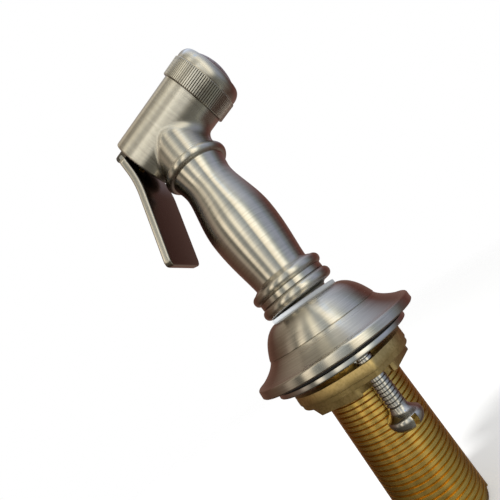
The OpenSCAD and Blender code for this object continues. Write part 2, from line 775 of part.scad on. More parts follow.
// One ring of the spring's wire, square to the coil
function wire_ring(i) = let (
    turn = 360 * i / spring_steps,
    at = spring_low + (spring_high - spring_low) * i / (spring_turns * spring_steps))
    [for (s = [0:spring_sides - 1]) let (
        r = spring_r + spring_wire_r * cos(360 * s / spring_sides))
        [r * cos(turn), r * sin(turn), at + spring_wire_r * sin(360 * s / spring_sides)]];

module valve_spring() {
    last = spring_turns * spring_steps;
    points = [for (i = [0:last]) each wire_ring(i)];
    faces = concat(
        [[for (s = [0:spring_sides - 1]) s]],
        [for (i = [0:last - 1]) for (s = [0:spring_sides - 1]) let (
            a = i * spring_sides + s,
            b = i * spring_sides + (s + 1) % spring_sides)
            each [[a, a + spring_sides, b + spring_sides], [a, b + spring_sides, b]]],
        [[for (s = [spring_sides - 1:-1:0]) last * spring_sides + s]]);
    color("#b9bcc0") on_barrel() polyhedron(points, faces);
}

// ---- Nozzle ----

module nozzle_cap() {
    flute = 360 / knurl_count;
    color("#b4afa4") on_barrel() difference() {
        union() {
            translate([0, 0, cap_rear]) linear_extrude(knurl_len) polygon(
                [for (i = [0:knurl_count - 1]) each [
                    knurl_r * [cos(i * flute), sin(i * flute)],
                    (knurl_r - knurl_depth) * [cos((i + 0.5) * flute), sin((i + 0.5) * flute)]]]);
            rotate_extrude() polygon(concat(
                [[0, knurl_front - cut], [cap_r, knurl_front - cut]],
                arc([cap_rim_r, shoulder_rear], [cap_r - cap_rim_r, cap_shoulder], 0, 90, 14),
                [[0, cap_front]]));
        }
        translate([0, 0, cap_rear - cut])
            cylinder(r = cap_spigot_r + eps, h = cut + cap_stop - cap_rear);
        translate([0, 0, cap_stop - cut])
            cylinder(r = face_r - face_lip, h = cap_front - cap_stop + 2 * cut);
        translate([0, 0, face_seat])
            cylinder(r = face_r + eps, h = cap_front - face_seat + cut);
    }
}

module face_gasket() {
    color("#2a2a2b") on_barrel()
        tube(cap_spigot_r - 0.1, disc_bore_r, cap_stop - face_gasket_t, cap_stop);
}

module spray_face() {
    dome_angle = asin(face_r / face_ball_r);
    low_r = face_ball_r - face_t;
    low_angle = asin((face_r - face_lip) / low_r);
    centre = face_edge + face_dome - face_ball_r;
    color("#bcbab4") on_barrel() difference() {
        rotate_extrude() polygon(concat(
            arc([0, centre], [face_ball_r, face_ball_r], 90 - dome_angle, 90, 10),
            arc([0, centre], [low_r, low_r], 90, 90 - low_angle, 8),
            [[face_r - face_lip, face_seat], [face_r, face_seat]]));
        for (ring = [0:3])
            for (i = [0:jets(ring) - 1])
                rotate([0, 0, i * 360 / jets(ring)])
                    translate([jet_ring * ring, 0, face_seat - cut])
                        cylinder(r = jet_r, h = cap_front, $fn = 16);
    }
}

// Spray holes on each ring: one in the middle, then as many as the ring takes
function jets(ring) = ring == 0 ? 1 : round(5.5 * ring);

escutcheon_base();
escutcheon_top();
shank();
ring_nut();
base_gasket();
guide_bush();
clamp_washer();
lock_nut();
jack_screws();
hose_coupling();
inlet_washer();
filter_screen();
handle_sleeve();
water_tube();
tube_seals();
head_body();
rear_bonnet();
stem_seals();
valve_seat();
flow_disc();
lever_pin();
lever();
valve_stem();
seat_washer();
valve_spring();
nozzle_cap();
face_gasket();
spray_face();
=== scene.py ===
"""Deck-mounted hand sprayer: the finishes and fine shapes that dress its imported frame.

Outlines are in millimetres, as (radius, height) in one of three frames: the holder's, which is the row frame,
the handset's, which leans on its seat, and the barrel's, which runs along the spray.
"""

import json
import math
from contextlib import contextmanager
from functools import cache

import bmesh
import bpy
import numpy as np
from bpy.props import FloatProperty, FloatVectorProperty, IntProperty, PointerProperty
from mathutils import Matrix, Vector
from mathutils.geometry import delaunay_2d_cdt


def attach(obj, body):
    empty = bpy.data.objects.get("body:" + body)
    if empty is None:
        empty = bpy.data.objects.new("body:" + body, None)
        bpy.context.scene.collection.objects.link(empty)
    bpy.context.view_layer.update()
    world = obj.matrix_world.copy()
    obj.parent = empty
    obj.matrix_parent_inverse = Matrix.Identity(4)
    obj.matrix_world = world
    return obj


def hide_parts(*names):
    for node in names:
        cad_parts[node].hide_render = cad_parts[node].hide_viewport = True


bl_info = {
    "name": "Deck Hand Sprayer",
    "version": (1, 0, 0),
    "blender": (4, 5, 0),
    "location": "3D Viewport > Sidebar > Sprayer",
    "description": "Dresses the frame of a deck-mounted hand sprayer with its finishes and fine shapes",
    "category": "Object",
}

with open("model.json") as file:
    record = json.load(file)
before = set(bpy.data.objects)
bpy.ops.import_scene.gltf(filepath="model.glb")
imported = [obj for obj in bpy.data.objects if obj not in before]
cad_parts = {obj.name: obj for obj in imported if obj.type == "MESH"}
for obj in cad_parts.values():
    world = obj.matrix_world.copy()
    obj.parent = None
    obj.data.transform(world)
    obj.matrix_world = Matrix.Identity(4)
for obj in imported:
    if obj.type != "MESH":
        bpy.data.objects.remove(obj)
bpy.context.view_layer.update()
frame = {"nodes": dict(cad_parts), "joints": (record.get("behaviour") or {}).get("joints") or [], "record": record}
RECORD = frame["record"]
MOUNTS = {m["name"]: m for m in RECORD["mounts"]}
JOINTS = {j["name"]: j for j in frame["joints"]}
BODY_OF = {n: body for body, nodes in RECORD["behaviour"]["bodies"].items() for n in nodes}
SLOT_OF = {s["node"]: s["material_slot"] for s in RECORD["subparts"]}
MM = 0.001

# ---- Sizes of the pieces, in millimetres ----

EPS = 0.05
RUN = 0.1
# Holder
RIM_R = 33.4
RIM_BAND = 3.4
RIM_ROUND = 0.8
SEAM_R = 23.9
SEAM_Z = 9.2
SEAM_ROUND = 0.22
BELL_TOP_R = 14.95
BELL_TOP_Z = 19.9
BELL_LIP = 2.2
BELL_COLLAR_H = 4.2
GASKET_R = 28
GASKET_RECESS = 0.8
GASKET_PROUD = 1.47
WEB_TOP = 3
SPIGOT_R = 21.7
SPIGOT_WALL = 1.1
SPIGOT_H = 1.8
SHANK_R = 15.1
SHANK_BORE_R = 12.5
SHANK_SEAT_R = 12.8
SHANK_SEAT_Z = 4
SHANK_DROP = 65
SHANK_TOP = BELL_TOP_Z - BELL_LIP - RUN
SHANK_PITCH = 1.814
SHANK_THREAD = 0.75
BUSH_R = 14.47
BUSH_T = 1.6
BUSH_WALL = 0.85
BUSH_SKIRT = 7.5
BUSH_TOP = BELL_TOP_Z + EPS + BUSH_T
BUSH_OUT_R = SHANK_SEAT_R - EPS
# Clamp
WASHER_R = 27.95
WASHER_TOP = -GASKET_PROUD - RUN
WASHER_LOW = WASHER_TOP - 1.94
SCREW_R = 3.175
SCREW_PITCH = 1.27
SCREW_THREAD = 0.62
SCREW_LEN = 20.9
SCREW_HEAD_R = 6
SCREW_HEAD_H = 5
SCREW_SLOT = 1.9
SCREW_SLOT_DEPTH = 4.3
SCREW_AZIMUTH = -67
SCREW_TURN = 6
SCREW_TIP = WASHER_LOW - RUN
SCREW_CIRCLE = SHANK_R + SCREW_HEAD_R + 0.2
# Handset foot and handle
TAIL_LEN = 17.5
TAIL_R = 10.9
TAIL_TIP_R = 9.2
FOOT_R = 13.6
FOOT_DROP = 0.35
BEAD_LOW_R = 16.04
GROOVE_LOW = 4.25
GROOVE_R = 14.66
GROOVE_TOP = 6.35
BEAD_TOP_R = 16.16
BEAD_TOP_TOP = 10.55
HANDLE_LOW = 11.95
HANDLE_FOOT_R = 12.35
BELLY_R = 14.93
BELLY_H = 25.9
WAIST_R = 11.68
WAIST_H = 23.1
HANDLE_TOP_R = 13
FLARE_H = 7.5
BELLY_AT = HANDLE_LOW + BELLY_H
WAIST_AT = BELLY_AT + WAIST_H
HANDLE_TOP = WAIST_AT + FLARE_H
HANDLE_BORE_R = 9.6
SPIGOT_LEN = 7
TUBE_FIT_R = 5.55
SEAL_R = 0.75
SEAL_GROOVE_R = 7.1
INLET_R = 6.58
INLET_SEAT_R = 6.4
INLET_SEAT_H = -8.5
INLET_END = -6.05
WATERWAY_R = 4.3
# Head
COLLAR_R = 15.34
COLLAR_TOP = HANDLE_TOP + 4.2
NECK_R = 13.3
NECK_BASE = COLLAR_TOP + 2.9
HEAD_H = HANDLE_TOP + 24.4
TILT = math.radians(10.7)
TUBE_TOP = HANDLE_TOP + 3
BARREL_R = 14.41
BARREL_BACK = 17.9
BARREL_FRONT = 18.64
SPIGOT_FRONT = BARREL_FRONT + 8.4
BONNET_BORE_R = 11.6
BONNET_FRONT = -8.1
CHAMBER_R = 9.5
SEAT_FRONT = 6.5
THROAT_R = 8
DISC_AT = BARREL_FRONT + 0.4
DISC_BORE_R = 10.4
REAR_FILLET = 0.35
# Nozzle cap
CAP_REAR = BARREL_FRONT + RUN
KNURL_R = 15.61
KNURL_FRONT = CAP_REAR + 9.16
CAP_R = 15.15
SHOULDER_REAR = KNURL_FRONT + 2.5
CAP_FRONT = SHOULDER_REAR + 4.86
CAP_SPIGOT_R = 12.9
CAP_STOP = SPIGOT_FRONT + EPS + 1.3
FACE_R = 11.6
FACE_DOME = 3.5
FACE_EDGE = CAP_FRONT - 2.1
RIM_FRONT = CAP_FRONT - 1.7
RIM_ROLL = 0.3
FACE_T = 1.5
FACE_LIP = 1
FACE_SEAT = CAP_STOP + 2.2
# Lever, in the handset's XZ plane
LEVER_W = 28.6
LEVER_T = 3.2
LEVER_FACE_X = -BARREL_BACK * math.cos(TILT) - 1.11
LEVER_TOP = HEAD_H - 1.2
LEVER_BEND_H = HEAD_H - 8.7
LEVER_BEND_R = 44.7
LEVER_ANGLE = math.radians(16.3)
LEVER_LEG = 32.4
LEVER_CORNER = 3
LEVER_EDGE = 0.7
BOSS_R = 2.5
TONGUE_W = 10
PIN_R = 1.25
PIN_HALF = 8.2
PIN_X = -20.88 * math.cos(TILT) - 6.39 * math.sin(TILT)
PIN_H = HEAD_H - 20.88 * math.sin(TILT) + 6.39 * math.cos(TILT)

# ---- Fineness of the meshes ----

STEPS = 144
WIDE_STEPS = 192
STAGE_STEPS = 96
SAME_POINT = 1e-4
SMOOTH_TURN = math.radians(24)
DOUBLES = 2e-6
SEAM_DOUBLES = 4e-6
NO_AREA = 1e-8
# A copy of a CAD mesh: its doubles in metres, and what counts there as flat and as a sharp edge
CAD_DOUBLES = 1e-6
CAD_FLAT = math.radians(0.6)
CAD_SHARP = math.radians(32)
# Steps up the neck, round its fillet and up its duct, and how fast the fillet shrinks towards the rear
NECK_ROWS = 10
DUCT_ROWS = 6
FILLET_FADE = 0.6
# A wall's own points keep this far from the rim of its hole
RIM_CLEAR = 0.35
THREAD_SINK = 0.04
# One flute of the knurl: a share of its width, and how far its land has dropped there
FLUTE = ((0, 0), (0.31, 0.04), (0.42, 0.65), (0.5, 1), (0.58, 0.65), (0.69, 0.04), (1, 0))
# Spray holes on each ring round the middle one
JETS = (6, 11, 17)


# ---- Frames ----


def axes(origin, z):
    """A frame in metres whose Z runs along z and whose Y is the row frame's Y."""
    z = Vector(z).normalized()
    y = Vector((0, 1, 0))
    place = Matrix((y.cross(z), y, z)).transposed().to_4x4()
    place.translation = origin
    return place


HOLDER = Matrix.Identity(4)
HAND_UP = -Vector(MOUNTS["hose_inlet"]["axis"])
HAND = axes(Vector(MOUNTS["hose_inlet"]["pos_m"]) + TAIL_LEN * MM * HAND_UP, HAND_UP)
BARREL = axes(JOINTS["nozzle_turn"]["pos_m"], JOINTS["nozzle_turn"]["axis"])


# ---- User settings ----


def length(name, default, description):
    """A size property in metres, given in millimetres."""
    return FloatProperty(name=name, description=description, default=default * MM, min=0, unit="LENGTH")


def colour(name, default, description):
    return FloatVectorProperty(name=name, description=description, default=default, size=3, min=0, max=1,
                               subtype="COLOR")


def share(name, default, description, top=1.0):
    """A plain factor property."""
    return FloatProperty(name=name, description=description, default=default, min=0, max=top,
                         subtype="FACTOR")


class SprayerSizes(bpy.types.PropertyGroup):
    """Fine sizes that the finished pieces add to the frame."""

    edge: length("Edge", 0.16, "Rounding of the turned pieces' edges")
    neck_fillet: length("Neck fillet", 5.6, "Fillet between neck and barrel, at the front")
    knurl_count: IntProperty(name="Knurl count", description="Flutes round the cap", default=100, min=20)
    knurl_depth: length("Knurl depth", 0.42, "Depth of one flute")
    jet_radius: length("Jet radius", 0.45, "Radius of one spray hole")
    jet_spacing: length("Jet spacing", 2.9, "Distance between the rings of spray holes")
    cast_edge: length("Cast edge", 0.2, "Rounding of the lock nut's edges")


class SprayerFinishes(bpy.types.PropertyGroup):
    """Colours and polish of the finishes, and the tones that paint shade and reflection onto some pieces."""

    nickel: colour("Nickel", (0.70, 0.67, 0.60), "Brushed nickel")
    nickel_dark: colour("Dark nickel", (0.58, 0.55, 0.49), "Brushed nickel in its lines")
    nickel_roughness: share("Nickel roughness", 0.22, "Roughness of the brushed nickel")
    lines: FloatProperty(name="Lines", description="Brush lines per millimetre", default=2.6, min=0.1)
    brass: colour("Brass", (0.98, 0.68, 0.19), "Turned brass of the shank")
    # Painted shade in the thread's roots: the roots of the shank's thread are darkened with this tone, where shade
    # falls.
    brass_painted_shade: colour("Dark brass", (0.60, 0.44, 0.17), "Brass in the roots of its thread")
    nut: colour("Nut", (0.74, 0.56, 0.26), "Cast brass of the lock nut")
    nut_dark: colour("Dark nut", (0.56, 0.41, 0.17), "Cast brass in its pits")
    # A painted reflection and painted shade: this darker, mauve tone stands for the reddish surroundings reflected
    # in the spray face and for its shade, not for the metal's own colour.
    face: colour("Spray face", (0.38, 0.28, 0.255), "Satin metal of the spray face")
    steel: colour("Steel", (0.66, 0.65, 0.62), "Plated and polished steel")
    bush: colour("Bush", (0.22, 0.25, 0.265), "Pale plastic of the guide bush")
    plastic: colour("Plastic", (0.80, 0.80, 0.77), "White plastic inside the head")
    # Painted shade: this dark tone is mixed in by each point's shade mark, in the knurl's flutes, on the lever's
    # inner side, over the bonnet behind the barrel and lightly on the spray face. It stands for shade, not for the
    # metal's own colour.
    painted_shade: colour("Painted shade", (0.045, 0.034, 0.030), "Dull metal in grooves and on hidden sides")
    rubber: colour("Rubber", (0.022, 0.022, 0.023), "Black rubber of gaskets and seals")


class StudioLook(bpy.types.PropertyGroup):
    """Light and surroundings of the stage."""

    floor: colour("Floor", (0.90, 0.90, 0.89), "Floor under the sprayer")
    wall_level: share("Wall level", 1.0, "Brightness of the walls that the metal reflects", top=3.0)
    sky_level: share("Sky level", 0.45, "Level of the plain light from all sides", top=3.0)
    floor_lift: share("Floor lift", 0.36, "Light that the floor adds for the camera, to end in white")
    lamp_power: FloatProperty(name="Lamp power", description="Power of the soft lamp", default=3.6, min=0,
                              unit="POWER")


def sizes():
    return bpy.context.scene.sprayer_sizes


def finishes():
    return bpy.context.scene.sprayer_finishes


def studio():
    return bpy.context.scene.studio_look


# ---- Outlines ----


def curve(points, n=22):
    """Points on a cubic curve, its first point left out."""
    a, b, c, d = map(Vector, points)
    steps = [i / n for i in range(1, n + 1)]
    return [tuple(a * (1 - t) ** 3 + 3 * b * t * (1 - t) ** 2 + 3 * c * t * t * (1 - t) + d * t ** 3)
            for t in steps]


def arc(centre, half, start, end, n=10):
    """Points on an elliptical arc, with its angles in degrees."""
    turns = [math.radians(start + (end - start) * i / n) for i in range(n + 1)]
    return [(centre[0] + half[0] * math.cos(t), centre[1] + half[1] * math.sin(t)) for t in turns]


def bead(base, top, low, high):
    """A bead that bulges from base radius to top radius between two heights."""
    return arc((base, (low + high) / 2), (top - base, (high - low) / 2), -90, 90, 26)


def soften(outline, radius, closed=True):
    """The outline with each sharp corner rounded by a small curve."""
    points = []
    for p in map(Vector, outline):
        if not points or (p - points[-1]).length > SAME_POINT:
            points.append(p)
    if closed and (points[0] - points[-1]).length < SAME_POINT:
        points.pop()
    made = []
    for i, p in enumerate(points):
        back = points[i - 1] - p
        on = points[(i + 1) % len(points)] - p
        at_end = not closed and i in (0, len(points) - 1)
        turn = 0 if at_end else math.pi - back.angle(on)
        if turn < SMOOTH_TURN:
            made.append(tuple(p))
            continue
        reach = min(radius * math.tan(turn / 2), 0.45 * back.length, 0.45 * on.length)
        start, end = p + reach * back.normalized(), p + reach * on.normalized()
        for t in (0, 0.25, 0.5, 0.75, 1):
            made.append(tuple((1 - t) ** 2 * start + 2 * t * (1 - t) * p + t * t * end))
    return made


# ---- Meshes ----


def link(item):
    """Puts an object into the scene."""
    bpy.context.scene.collection.objects.link(item)
    return item


def add_object(name, points, faces, place=HOLDER):
    """An object in the scene from points in millimetres in the frame place."""
    mesh = bpy.data.meshes.new(name)
    world = np.asarray(points, float).reshape(-1, 3) * MM
    matrix = np.array(place)
    mesh.from_pydata((world @ matrix[:3, :3].T + matrix[:3, 3]).tolist(), [], faces)
    mesh.update()
    return link(bpy.data.objects.new(name, mesh))


def grid_faces(rows, n, closed_rows=False, closed_columns=True, turned=False):
    """Faces between rows of n points each."""
    faces = []
    for row in range(rows if closed_rows else rows - 1):
        a, b = row * n, (row + 1) % rows * n
        for i in range(n if closed_columns else n - 1):
            k = (i + 1) % n
            faces.append((a + i, a + k, b + k, b + i) if turned else (a + i, b + i, b + k, a + k))
    return faces


def turned_grid(outline, closed, steps=STEPS):
    """Points and faces of an outline turned round Z, with faces outwards where the outer side runs up."""
    r, h = np.array(outline).T
    n = len(r)
    turn = np.arange(steps) * 2 * math.pi / steps
    points = np.stack([np.outer(np.cos(turn), r), np.outer(np.sin(turn), r), np.tile(h, (steps, 1))], 2)
    area = np.sum(r * np.roll(h, -1) - np.roll(r, -1) * h)
    return points.reshape(-1, 3), grid_faces(steps, n, True, closed, turned=area <= 0)


def strip(rows):
    """Points and faces of rings of points, one ring after another."""
    return np.array(rows).reshape(-1, 3), grid_faces(len(rows), len(rows[0]), turned=True)


@contextmanager
def edited(mesh, *sources):
    """The faces of all the sources for editing. The mesh gets the result."""
    bm = bmesh.new()
    for source in sources:
        bm.from_mesh(source)
    yield bm
    bm.to_mesh(mesh)
    bm.free()
    mesh.update()


def weld(piece, distance=DOUBLES, outwards=False):
    """Merges doubles, drops faces without area and, if asked, turns all faces outwards."""
    with edited(piece.data, piece.data) as bm:
        bmesh.ops.remove_doubles(bm, verts=bm.verts, dist=distance)
        bmesh.ops.dissolve_degenerate(bm, edges=bm.edges, dist=NO_AREA)
        if outwards:
            bmesh.ops.recalc_face_normals(bm, faces=bm.faces)
    return piece


def lathe(name, outline, place, edge=None, closed=True, steps=STEPS):
    """A turned piece. An open outline starts and ends on the axis."""
    radius = sizes().edge / MM if edge is None else edge
    piece = add_object(name, *turned_grid(soften(outline, radius, closed), closed, steps), place)
    return piece if closed else weld(piece, outwards=True)


def from_cad(node, name, edge):
    """A merged copy of a CAD node's mesh, with its sharp edges rounded."""
    mesh = bpy.data.meshes.new(name)
    with edited(mesh, frame["nodes"][node].data) as bm:
        bmesh.ops.remove_doubles(bm, verts=bm.verts, dist=CAD_DOUBLES)
        bmesh.ops.dissolve_limit(bm, angle_limit=CAD_FLAT, verts=bm.verts, edges=bm.edges)
        sharp = [e for e in bm.edges if e.is_manifold and e.calc_face_angle(0) > CAD_SHARP]
        bmesh.ops.bevel(bm, geom=sharp, offset=edge, segments=2, profile=0.5, affect="EDGES",
                        clamp_overlap=True)
        bmesh.ops.triangulate(bm, faces=[f for f in bm.faces if len(f.verts) > 4])
    for extra in [a.name for a in mesh.attributes if a.name in ("custom_normal", "UVMap")]:
        mesh.attributes.remove(mesh.attributes[extra])
    return link(bpy.data.objects.new(name, mesh))


def prism(name, outline, low, high, place=HOLDER):
    """A closed prism from a counterclockwise outline in XY, from low to high along Z."""
    n = len(outline)
    points, sides = strip([[(x, y, z) for x, y in outline] for z in (low, high)])
    return add_object(name, points, [tuple(reversed(range(n))), tuple(range(n, 2 * n))] + sides, place)


def settle(piece):
    """Turns what the modifiers make into the piece's own plain mesh."""
    bpy.context.view_layer.update()
    graph = bpy.context.evaluated_depsgraph_get()
    made = bpy.data.meshes.new_from_object(piece.evaluated_get(graph))
    piece.modifiers.clear()
    old = piece.data
    piece.data = made
    bpy.data.meshes.remove(old)


def cut_with(piece, other, operation):
    """Joins another solid to a piece or cuts it away, and removes the other."""
    step = piece.modifiers.new("solid", "BOOLEAN")
    step.operation = operation
    step.solver = "EXACT"
    step.object = other
    settle(piece)
    bpy.data.objects.remove(other)


def merge(piece, other):
    """Adds another object's mesh to a piece's mesh and removes the other."""
    with edited(piece.data, piece.data, other.data):
        pass
    bpy.data.objects.remove(other)


def rows_of(items, key):
    """A vector of each item, as rows."""
    values = np.zeros(len(items) * 3)
    items.foreach_get(key, values)
    return values.reshape(-1, 3)


def points_of(piece):
    return rows_of(piece.data.vertices, "co")


def normals_of(piece):
    return rows_of(piece.data.vertices, "normal")


def unit_rows(rows):
    """Rows of vectors made one long."""
    return rows / np.maximum(np.linalg.norm(rows, axis=1, keepdims=True), 1e-9)


def mark(piece, name, values):
    """Writes a number or a vector on each point: shade is painted shade, which darkens the colour, satin is less
    polished.
    """
    values = np.ascontiguousarray(values, np.float32)
    kind, key = ("FLOAT", "value") if values.ndim == 1 else ("FLOAT_VECTOR", "vector")
    layer = piece.data.attributes.get(name) or piece.data.attributes.new(name, kind, "POINT")
    layer.data.foreach_set(key, values.ravel())


def in_frame(points, place):
    """World points in metres, in a frame's own axes."""
    matrix = np.array(place)
    return (points - matrix[:3, 3]) @ matrix[:3, :3]


def reach_of(piece, place):
    """How far a piece's points lie from a frame's axis, in millimetres."""
    return np.hypot(*in_frame(points_of(piece), place).T[:2]) / MM


def brush_round(piece, place, weight=None):
    """Writes the points in the frame's axes, and the grain along the outline, across the brush lines."""
    points = points_of(piece)
    matrix = np.array(place)
    axis = matrix[:3, 2]
    brush = in_frame(points, place)
    grain = np.cross(unit_rows(np.cross(axis, points - matrix[:3, 3])), normals_of(piece))
    grain[np.linalg.norm(grain, axis=1) < 0.05] = axis
    grain = unit_rows(grain)
    if weight is not None:
        here = weight[:, None]
        layers = piece.data.attributes
        kept = rows_of(layers["grain"].data, "vector")
        kept *= np.where(np.sum(kept * grain, axis=1) < 0, -1, 1)[:, None]
        grain = unit_rows(here * grain + (1 - here) * kept)
        brush = here * brush + (1 - here) * rows_of(layers["brush"].data, "vector")
    mark(piece, "grain", grain)
    mark(piece, "brush", brush)


def dress(piece, node, material, sharp=34, brushed=None):
    """Gives a piece its finish and its body, and hides the CAD node that it stands for."""
    if brushed is not None:
        brush_round(piece, brushed)
    mesh = piece.data
    mesh.materials.clear()
    mesh.materials.append(material)
    mesh.shade_smooth()
    mesh.set_sharp_from_angle(angle=math.radians(sharp))
    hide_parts(node)
    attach(piece, BODY_OF[node])


# ---- Node trees ----


class Tree:
    """A node tree with short calls that add nodes, whose inputs are values or sockets by name or number."""

    def __init__(self, tree):
        self.tree = tree

    def feed(self, node, inputs):
        for key, value in dict(inputs).items():
            if isinstance(value, bpy.types.NodeSocket):
                self.tree.links.new(value, node.inputs[key])
            else:
                node.inputs[key].default_value = value

    def add(self, kind, inputs=(), **settings):
        node = self.tree.nodes.new(kind)
        for key, value in settings.items():
            setattr(node, key, value)
        self.feed(node, inputs)
        return node

    def out(self, kind, inputs=(), **settings):
        """A new node's first output."""
        return self.add(kind, inputs, **settings).outputs[0]

    def shape(self, kind, inputs=(), **settings):
        return self.out("GeometryNode" + kind, inputs, **settings)

    def calc(self, operation, *values):
        return self.out("ShaderNodeMath", enumerate(values), operation=operation)

    def vector(self, operation, *values):
        node = self.add("ShaderNodeVectorMath", enumerate(values), operation=operation)
        return node.outputs["Vector" if operation == "NORMALIZE" else "Value"]

    def spread(self, value, low, high, to_low=0.0, to_high=1.0):
        """A value moved from one span to another, and clamped."""
        return self.out("ShaderNodeMapRange", enumerate((value, low, high, to_low, to_high)))

    def mix(self, factor, a, b, blend="MIX"):
        """Two colours mixed."""
        return self.add("ShaderNodeMix", {0: factor, 6: a, 7: b}, data_type="RGBA",
                        blend_type=blend).outputs[2]

    def noise(self, vector, scale, detail, **more):
        inputs = {"Vector": vector, "Scale": scale, "Detail": detail, **more}
        return self.add("ShaderNodeTexNoise", inputs, noise_dimensions="4D" if more else "3D").outputs["Fac"]

    def mark(self, name, output="Fac"):
        """What the piece's points carry under a name."""
        return self.add("ShaderNodeAttribute", attribute_name=name).outputs[output]

    def place(self):
        return self.add("ShaderNodeTexCoord").outputs["Object"]

    def ray(self, kind):
        return self.add("ShaderNodeLightPath").outputs[kind]

    def finish_with(self, geometry):
        """Ends a Geometry Nodes tree."""
        real = self.shape("RealizeInstances", {0: geometry})
        self.feed(self.end, {0: self.shape("SetMaterial", {
            "Geometry": real, "Material": self.given["Material"]})})
        return self


def new_group(name, kind, inputs, outputs):
    """A node group, from its inputs' and outputs' names, types and defaults."""
    t = Tree(bpy.data.node_groups.new(name, kind))
    t.sockets = {}
    for way, sockets in (("OUTPUT", outputs), ("INPUT", inputs)):
        for label, socket, *default in sockets:
            made = t.tree.interface.new_socket(name=label, in_out=way, socket_type="NodeSocket" + socket)
            t.sockets[label] = made.identifier
            if default:
                made.default_value = default[0]
    t.given = t.add("NodeGroupInput").outputs
    t.end = t.add("NodeGroupOutput")
    return t


# ---- Geometry Nodes ----


def shape_tree(name, *inputs):
    """A Geometry Nodes tree with the sizes that it takes."""
    shape = ("Geometry", "Geometry")
    return new_group(name, "GeometryNodeTree", [shape, *inputs, ("Material", "Material")], [shape])


def run_tree(piece, build, values, material):
    """Runs a Geometry Nodes tree on a piece and keeps the result as its mesh."""
    t = build()
    step = piece.modifiers.new(t.tree.name, "NODES")
    step.node_group = t.tree
    for key, value in values.items():
        step[t.sockets[key]] = value
    step[t.sockets["Material"]] = material
    settle(piece)
    bpy.data.node_groups.remove(t.tree)


def ring_array():
    """Copies of the piece's own mesh, evenly round Z and merged where they meet."""
    t = shape_tree("ring_array", ("Count", "Int", 8))
    count = t.given["Count"]
    turn = t.calc("MULTIPLY", t.shape("InputIndex"), t.calc("DIVIDE", 2 * math.pi, count))
    copies = t.shape("InstanceOnPoints", {
        "Points": t.shape("Points", {"Count": count}), "Instance": t.given["Geometry"],
        "Rotation": t.out("ShaderNodeCombineXYZ", {"Z": turn})})
    real = t.shape("RealizeInstances", {0: copies})
    return t.finish_with(t.shape("MergeByDistance", {"Geometry": real, "Distance": DOUBLES}))


def helix():
    """A thread's ridge swept up a helix round Z."""
    t = shape_tree("thread_helix", ("Turns", "Float", 10.0), ("Root radius", "Float", 0.01),
                   ("Pitch", "Float", 0.001), ("Depth", "Float", 0.0005), ("Steps per turn", "Int", 72))
    turns, radius, pitch, depth = (t.given[name] for name in ("Turns", "Root radius", "Pitch", "Depth"))
    line = t.shape("CurveSpiral", {
        "Resolution": t.given["Steps per turn"], "Rotations": turns, "Start Radius": radius,
        "End Radius": radius, "Height": t.calc("MULTIPLY", pitch, turns), "Reverse": True})
    upright = t.shape("SetCurveNormal", {"Curve": line}, mode="Z_UP")
    ridge = t.shape("CurvePrimitiveQuadrilateral", {
        "Bottom Width": t.calc("MULTIPLY", pitch, 0.97), "Top Width": t.calc("MULTIPLY", pitch, 0.64),
        "Height": depth, "Offset": 0.0}, mode="TRAPEZOID")
    shift = t.out("ShaderNodeCombineXYZ", {"X": t.calc("MULTIPLY", depth, 0.5)})
    turned = t.shape("Transform", {
        "Geometry": ridge, "Translation": shift, "Rotation": (0, 0, -math.pi / 2)})
    return t.finish_with(t.shape("CurveToMesh", {
        "Curve": upright, "Profile Curve": turned, "Fill Caps": True}))


def perforation():
    """Round holes on rings, cut through the piece along Z."""
    t = shape_tree("spray_holes", ("Hole radius", "Float", 0.0005), ("Ring spacing", "Float", 0.003),
                   ("Height", "Float", 0.03), ("Depth", "Float", 0.02))
    places = t.add("GeometryNodeJoinGeometry")
    t.feed(places, {0: t.shape("Points", {"Count": 1})})
    for ring, jets in enumerate(JETS, 1):
        radius = t.calc("MULTIPLY", t.given["Ring spacing"], float(ring))
        circle = t.shape("MeshCircle", {"Vertices": jets, "Radius": radius})
        t.feed(places, {0: t.shape("MeshToPoints", {"Mesh": circle})})
    drill = t.shape("MeshCylinder", {
        "Vertices": 20, "Radius": t.given["Hole radius"], "Depth": t.given["Depth"]})
    lift = t.out("ShaderNodeCombineXYZ", {"Z": t.given["Height"]})
    raised = t.shape("Transform", {"Geometry": drill, "Translation": lift})
    drills = t.shape("InstanceOnPoints", {"Points": places.outputs[0], "Instance": raised})
    real = t.shape("RealizeInstances", {0: drills})
    return t.finish_with(t.shape("MeshBoolean", {"Mesh 1": t.given["Geometry"], "Mesh 2": real},
                               operation="DIFFERENCE", solver="EXACT"))


# ---- Finishes ----

FINISH = (("Colour", "Color"), ("Roughness", "Float"), ("Height", "Float"))
# How far a satin mask of 1 raises the roughness
SATIN = 0.12
# Tone, tone in the pits and its level, roughness, metallic, grains per metre and their depth in metres
GRAINED = {
    "rubber": ("rubber", "rubber", 0.5, 0.62, 0.0, 2500.0, 0.00002),
    "bush_plastic": ("bush", "bush", 0.86, 0.34, 0.0, 900.0, 0.000012),
    "white_plastic": ("plastic", "plastic", 0.85, 0.4, 0.0, 1500.0, 0.00002),
    "cast_brass": ("nut", "nut_dark", 1.0, 0.4, 1.0, 1100.0, 0.00003),
    "plated_steel": ("steel", "steel", 0.82, 0.15, 1.0, 1300.0, 0.000003),
    "inner_brass": ("brass", "nut_dark", 1.0, 0.3, 1.0, 900.0, 0.000005),
    "inner_steel": ("steel", "steel", 0.7, 0.3, 1.0, 900.0, 0.000005),
}


def rgba(tone, level=1.0):
    return (*(level * c for c in tone), 1.0)


